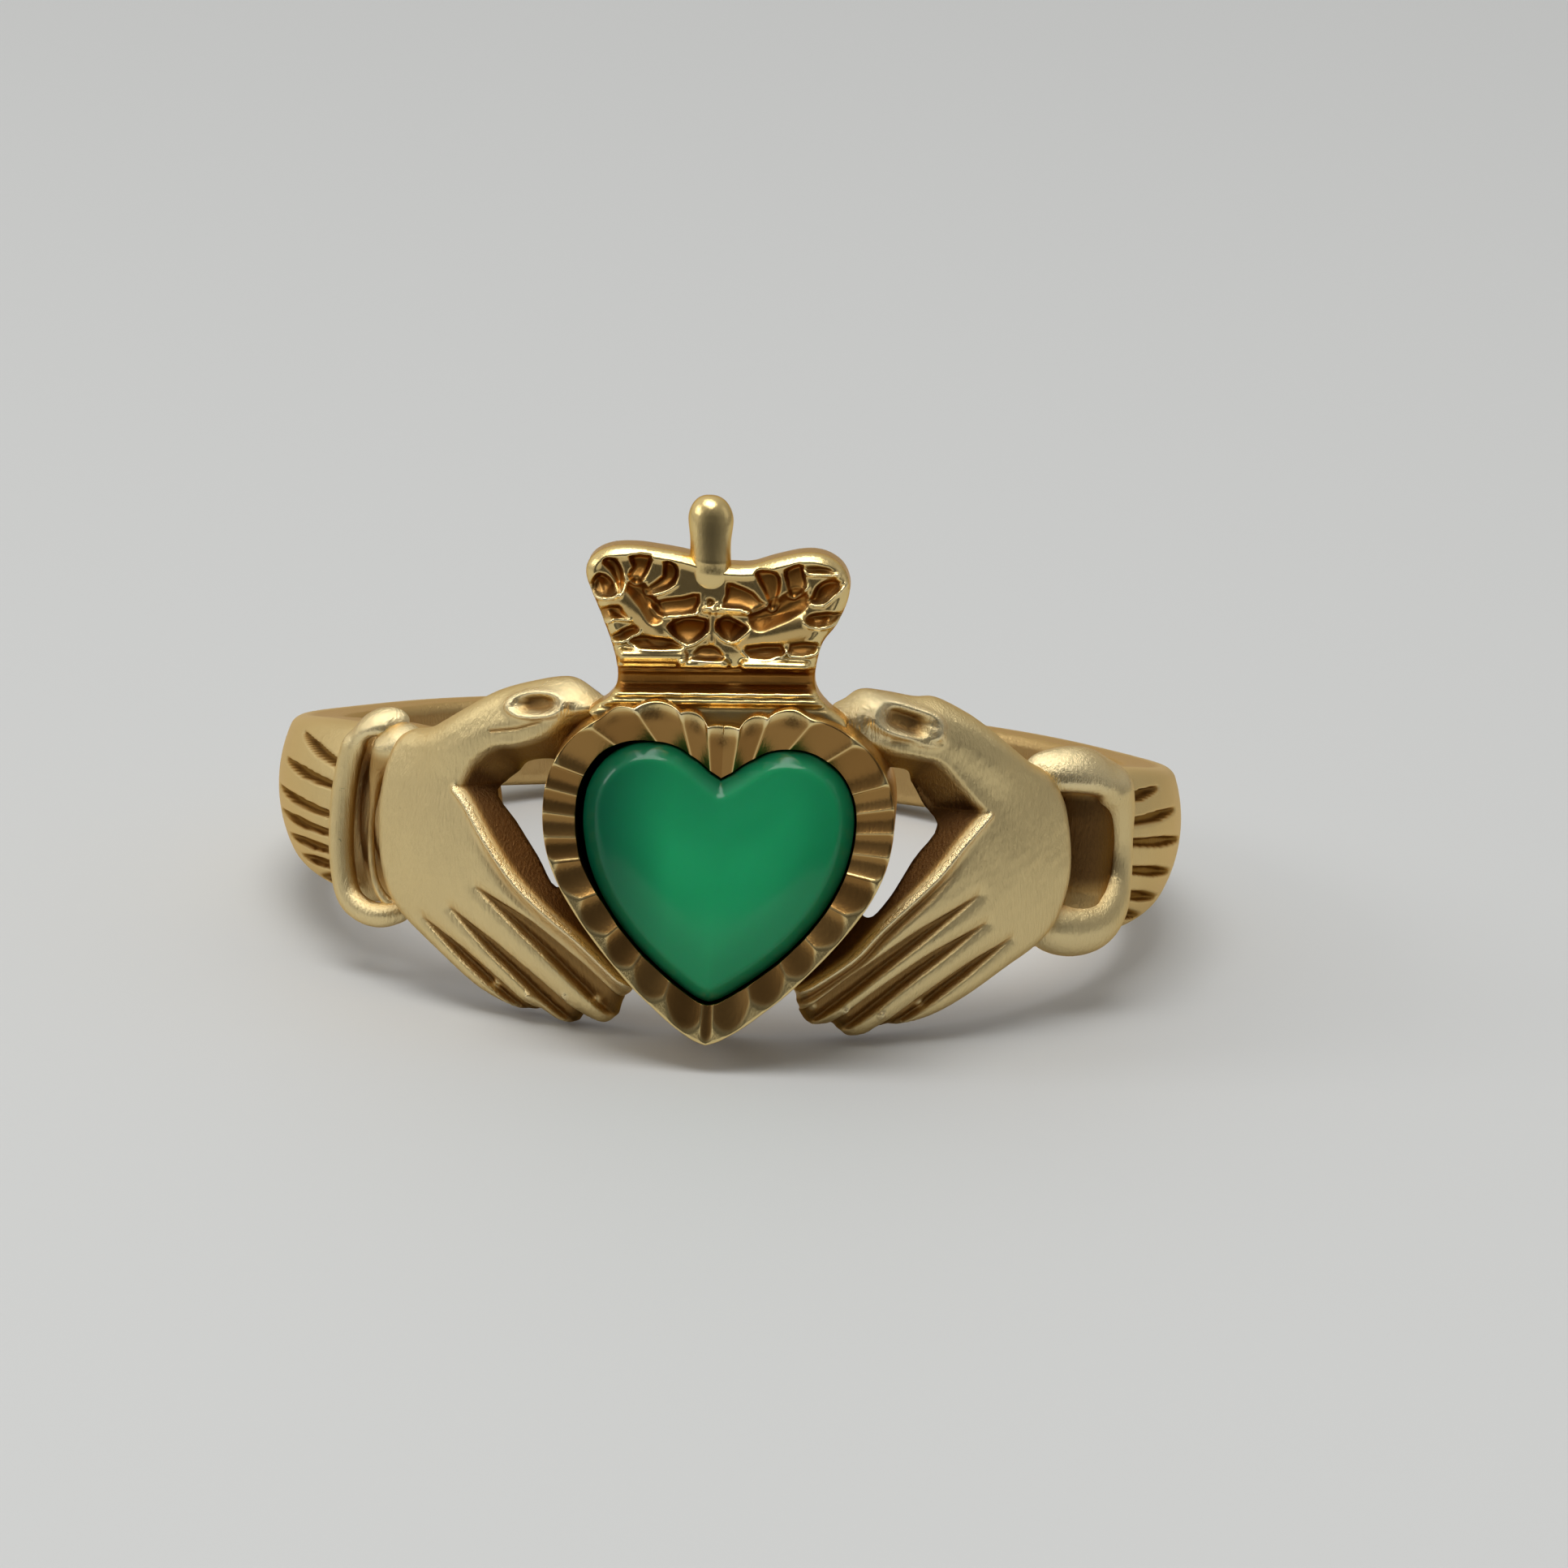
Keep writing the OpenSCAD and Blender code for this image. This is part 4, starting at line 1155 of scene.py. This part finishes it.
# %% Crown and finial
CROWN_STEP = 0.03
crown_bevel = 0.19
back_bevel = 0.25
lip_rise = 0.07
crown_wave = 0.012


def crown_relief(at, outline):
    edge = depth_in(outline, at)
    leaning = at[:, 1] - crown_lean * at[:, 0]
    upper = ease(leaning, 4.3, 4.6)
    height = -0.9 * round_edge(edge, crown_bevel) + table(crown_foot, leaning)
    height += 0.06 * ease(leaning, 4.6, 5.0) * np.exp(-((edge - crown_bevel) / 0.07) ** 2)
    # Painted shade in the cove of the foot
    recess = ease(-table(crown_foot, leaning), 0.08, 0.22)
    # The upper face inside its bevel is painted a little darker as shade
    recess += 0.26 * upper * ease(edge, 0.2, 0.32)
    for line, half_w, rise in crown_bosses:
        distance, _ = along(np.array(line), at)
        height += rise * np.clip(1 - (distance / half_w) ** 2, 0, 1)
    for line, half_w, deep in crown_hollows:
        distance, _ = along(np.array(line), at)
        hollow = np.clip(1 - (distance / half_w) ** 2, 0, 1)
        height -= deep * hollow
        # Painted shade in the hollows
        recess += ease(hollow, 0.1, 0.5)
    for turn, deep, lip, points in crown_cuts:
        towards = np.array([math.cos(math.radians(turn)), math.sin(math.radians(turn))])
        cut_outline = smooth_line(points, closed=True, steps=2)
        inside = depth_in(cut_outline, at)
        past_lip = depth_in(cut_outline, at - lip * towards)
        wall = ease(inside, -0.02, 0.10)
        rising = np.sqrt(1 - (1 - np.clip(1 + past_lip / lip, 0, 1)) ** 2)
        reach = cut_outline @ towards
        share = np.clip((at @ towards - reach.min()) / np.ptp(reach), 0, 1)
        lip_side = ease(-past_lip, 0.6 * lip, 0.95 * lip)
        burr = np.exp(-((inside + 0.02) / 0.035) ** 2) * lip_side
        height += lip_rise * burr - deep * wall * rising * (0.15 + 0.85 * share)
        # Painted shade on the floor of each cut, darkest at its deep end, and a painted highlight on its
        # burr
        recess += wall * ease(rising, 0.2, 1.0) * (0.45 + 0.55 * share) - 0.8 * burr
    height += crown_wave * waviness(at, 1.0, 5)
    return height, np.clip(recess, -1, 1)


def build_crown():
    outline = smooth_line(crown_outline, closed=True, steps=4)

    def depth_of(at):
        return depth_in(outline, at)

    mesh, at, level = relief_sheet("crown", outline, depth_of, CROWN_STEP)
    height, recess = crown_relief(at, outline)
    back = crown_back + 0.8 * round_edge(depth_in(outline, at), back_bevel)
    r = back + (crown_front + height - back) * level
    places = np.stack([at[:, 0], -r, at[:, 1]], axis=1)
    # The walls and the back are painted a little darker as shade
    recess = np.where(level > FRONT_LEVEL, recess, 0.35)
    finish_piece("crown", mesh, places, recess, bright_gold)


# Rows: height, radius
finial_profile = (
    (7.77, 0.0), (7.755, 0.14), (7.70, 0.26), (7.61, 0.355), (7.50, 0.42), (7.36, 0.465),
    (7.22, 0.475), (7.05, 0.46), (6.88, 0.44), (6.70, 0.43), (6.50, 0.43), (6.30, 0.44),
    (6.10, 0.46), (5.92, 0.46), (5.75, 0.40), (5.64, 0.25), (5.60, 0.0))
# Rows: height, distance of the finial's middle from the finger's axis
finial_front = (
    (5.5, 10.22), (5.8, 10.31), (6.1, 10.42), (6.4, 10.48), (6.8, 10.43), (7.3, 10.35),
    (7.8, 10.33))
FINIAL_STEPS = 56


def build_finial():
    bm = bmesh.new()
    profile = smooth_line([(r, z) for z, r in finial_profile], steps=4)
    verts = [bm.verts.new((max(r, 0.0), 0, z)) for r, z in profile]
    edges = [bm.edges.new(pair) for pair in zip(verts[:-1], verts[1:])]
    bmesh.ops.spin(bm, geom=verts + edges, axis=(0, 0, 1), cent=(0, 0, 0), steps=FINIAL_STEPS,
                   angle=2 * math.pi, use_merge=True)
    bmesh.ops.remove_doubles(bm, verts=bm.verts, dist=1e-5)
    mesh = to_mesh(bm, "finial")
    co = points_of(mesh)
    lean = -0.5 + 0.09 * (7.3 - co[:, 2]) / 1.7
    front = table(finial_front, co[:, 2])
    around = np.stack([np.arctan2(co[:, 1], co[:, 0]), co[:, 2]], axis=1)
    dent = 1 + 0.02 * waviness(around, 1.2, 8)
    places = np.stack([co[:, 0] * dent + lean, co[:, 1] * 0.9 * dent - front, co[:, 2]], axis=1)
    finish_piece("finial", mesh, places, np.zeros(len(co)), bright_gold)


build_crown()
build_finial()

# %% [markdown]
# The ring lies on a pale, matt surface, and rests on its finger tips and the back of its band as
# the physics pose says. The surface is staging, so it stays out of the export.

# %% Pale surface
sheet_front = 0.055
sheet_half = 2


def build_floor():
    bm = bmesh.new()
    bmesh.ops.create_grid(bm, x_segments=1, y_segments=1, size=sheet_half)
    bmesh.ops.translate(bm, verts=bm.verts, vec=(0, sheet_half - sheet_front, 0))
    floor = add_object("pale_surface", to_mesh(bm, "pale_surface"))
    material, _, shader = new_material("matt_surface")
    set_sockets(shader, Base_Color=(0.60, 0.604, 0.592, 1), Roughness=0.6, Specular_IOR_Level=0.2)
    floor.data.materials.append(material)


build_floor()

# %% [markdown]
# The photograph was lit by a large soft source overhead with some light from both sides.
# The room behind the camera is darker, and that, together with the shade painted into the gold's hollows,
# gives the hollows their brown.

# %% Room light
# Rows: how far up the direction points, from -1 to 1, and the brightness of the room there
room_light = ((-1.0, 0.20), (0.0, 0.26), (0.1, 0.33), (0.5, 0.38), (0.8, 0.5), (1.0, 0.7))
# Rows: how far back the direction points, from -1 (towards the camera) to 1, and the share left
room_front = ((-1.0, 0.25), (-0.85, 0.36), (-0.55, 0.75), (-0.3, 1.0), (0.2, 1.15), (1.0, 1.8))
# Rows: how far to the right the direction points, and the share left
room_side = ((-1.0, 1.7), (-0.5, 1.15), (0.0, 0.9), (1.0, 0.65))
# The lamps point at the middle of the ring
ring_middle = (0, 0, 0.003)


def light_ramp(tree, parts, axis, rows):
    """A brightness that follows one axis of the direction, read from a short table."""
    along_axis = map_range(tree, parts, axis, From_Min=-1.0)
    ramp = add_node(tree, "ShaderNodeValToRGB")
    stops = ramp.color_ramp.elements
    while len(stops) < len(rows):
        stops.new(0.5)
    brightest = max(value for _, value in rows)
    for stop, (direction, value) in zip(stops, rows):
        stop.position = (direction + 1) / 2
        stop.color = (*(value / brightest,) * 3, 1)
    link(tree, along_axis, "Result", ramp, "Fac")
    return ramp, brightest


def build_world():
    world = bpy.data.worlds.new("soft_room")
    bpy.context.scene.world = world
    world.use_nodes = True
    tree = world.node_tree
    background = tree.nodes["Background"]
    parts = add_node(tree, "ShaderNodeSeparateXYZ")
    link(tree, add_node(tree, "ShaderNodeTexCoord"), "Generated", parts, "Vector")
    room, room_most = light_ramp(tree, parts, "Z", room_light)
    front, front_most = light_ramp(tree, parts, "Y", room_front)
    aside, side_most = light_ramp(tree, parts, "X", room_side)
    strength = add_node(tree, "ShaderNodeMath")
    strength.operation = "MULTIPLY"
    strength.inputs[1].default_value = room_most * front_most * side_most
    link(tree, multiply(tree, front, "Color", aside, "Color"), "Value", strength, 0)
    link(tree, room, "Color", background, "Color")
    link(tree, strength, "Value", background, "Strength")


def area_light(name, place, size, power):
    data = bpy.data.lights.new(name, "AREA")
    data.shape = "RECTANGLE"
    data.size, data.size_y = size
    data.energy = power
    lamp = add_object(name, data)
    lamp.location = place
    lamp.rotation_euler = (Vector(ring_middle) - Vector(place)).to_track_quat("-Z", "Y").to_euler()


build_world()
area_light("overhead", (-0.03, -0.065, 0.30), (0.20, 0.16), 0.48)
area_light("left_window", (-0.30, -0.08, 0.18), (0.12, 0.12), 0.16)
area_light("right_side", (0.30, 0.02, 0.16), (0.15, 0.20), 0.03)
bpy.context.scene.view_settings.view_transform = "Standard"

# %% [markdown]
# The camera repeats the photograph's viewpoint: it was found in the ring's own frame, from the
# bore's ellipse and the heart's corners, and is laid down with the ring.

# %% Camera
sensor_w = 36
focal_px = 11040
photo_px = 1932


def build_camera():
    height, roll, turned = math.radians(7.6), math.radians(3.4), math.radians(1.1)
    distance, aside, above = 200.0, 1.17, 0.345
    right = Vector((1, 0, 0))
    up = Vector((0, math.sin(height), math.cos(height)))
    forward = Vector((0, math.cos(height), -math.sin(height)))
    place = aside * right + above * up - distance * forward
    axes = Matrix((math.cos(roll) * right + math.sin(roll) * up,
                   math.cos(roll) * up - math.sin(roll) * right, -forward)).transposed()
    turn_back = Matrix.Rotation(turned, 3, "Z")
    lay = lay_down.to_3x3() @ Matrix.Scale(1000, 3)
    data = bpy.data.cameras.new("photo_camera")
    data.sensor_width = sensor_w
    data.lens = sensor_w * focal_px / photo_px
    data.clip_start = 0.01
    data.clip_end = 10
    camera = add_object("photo_camera", data)
    matrix = (lay @ turn_back @ axes).to_4x4()
    matrix.translation = lay_down @ (turn_back @ place)
    camera.matrix_world = matrix
    bpy.context.scene.camera = camera


build_camera()
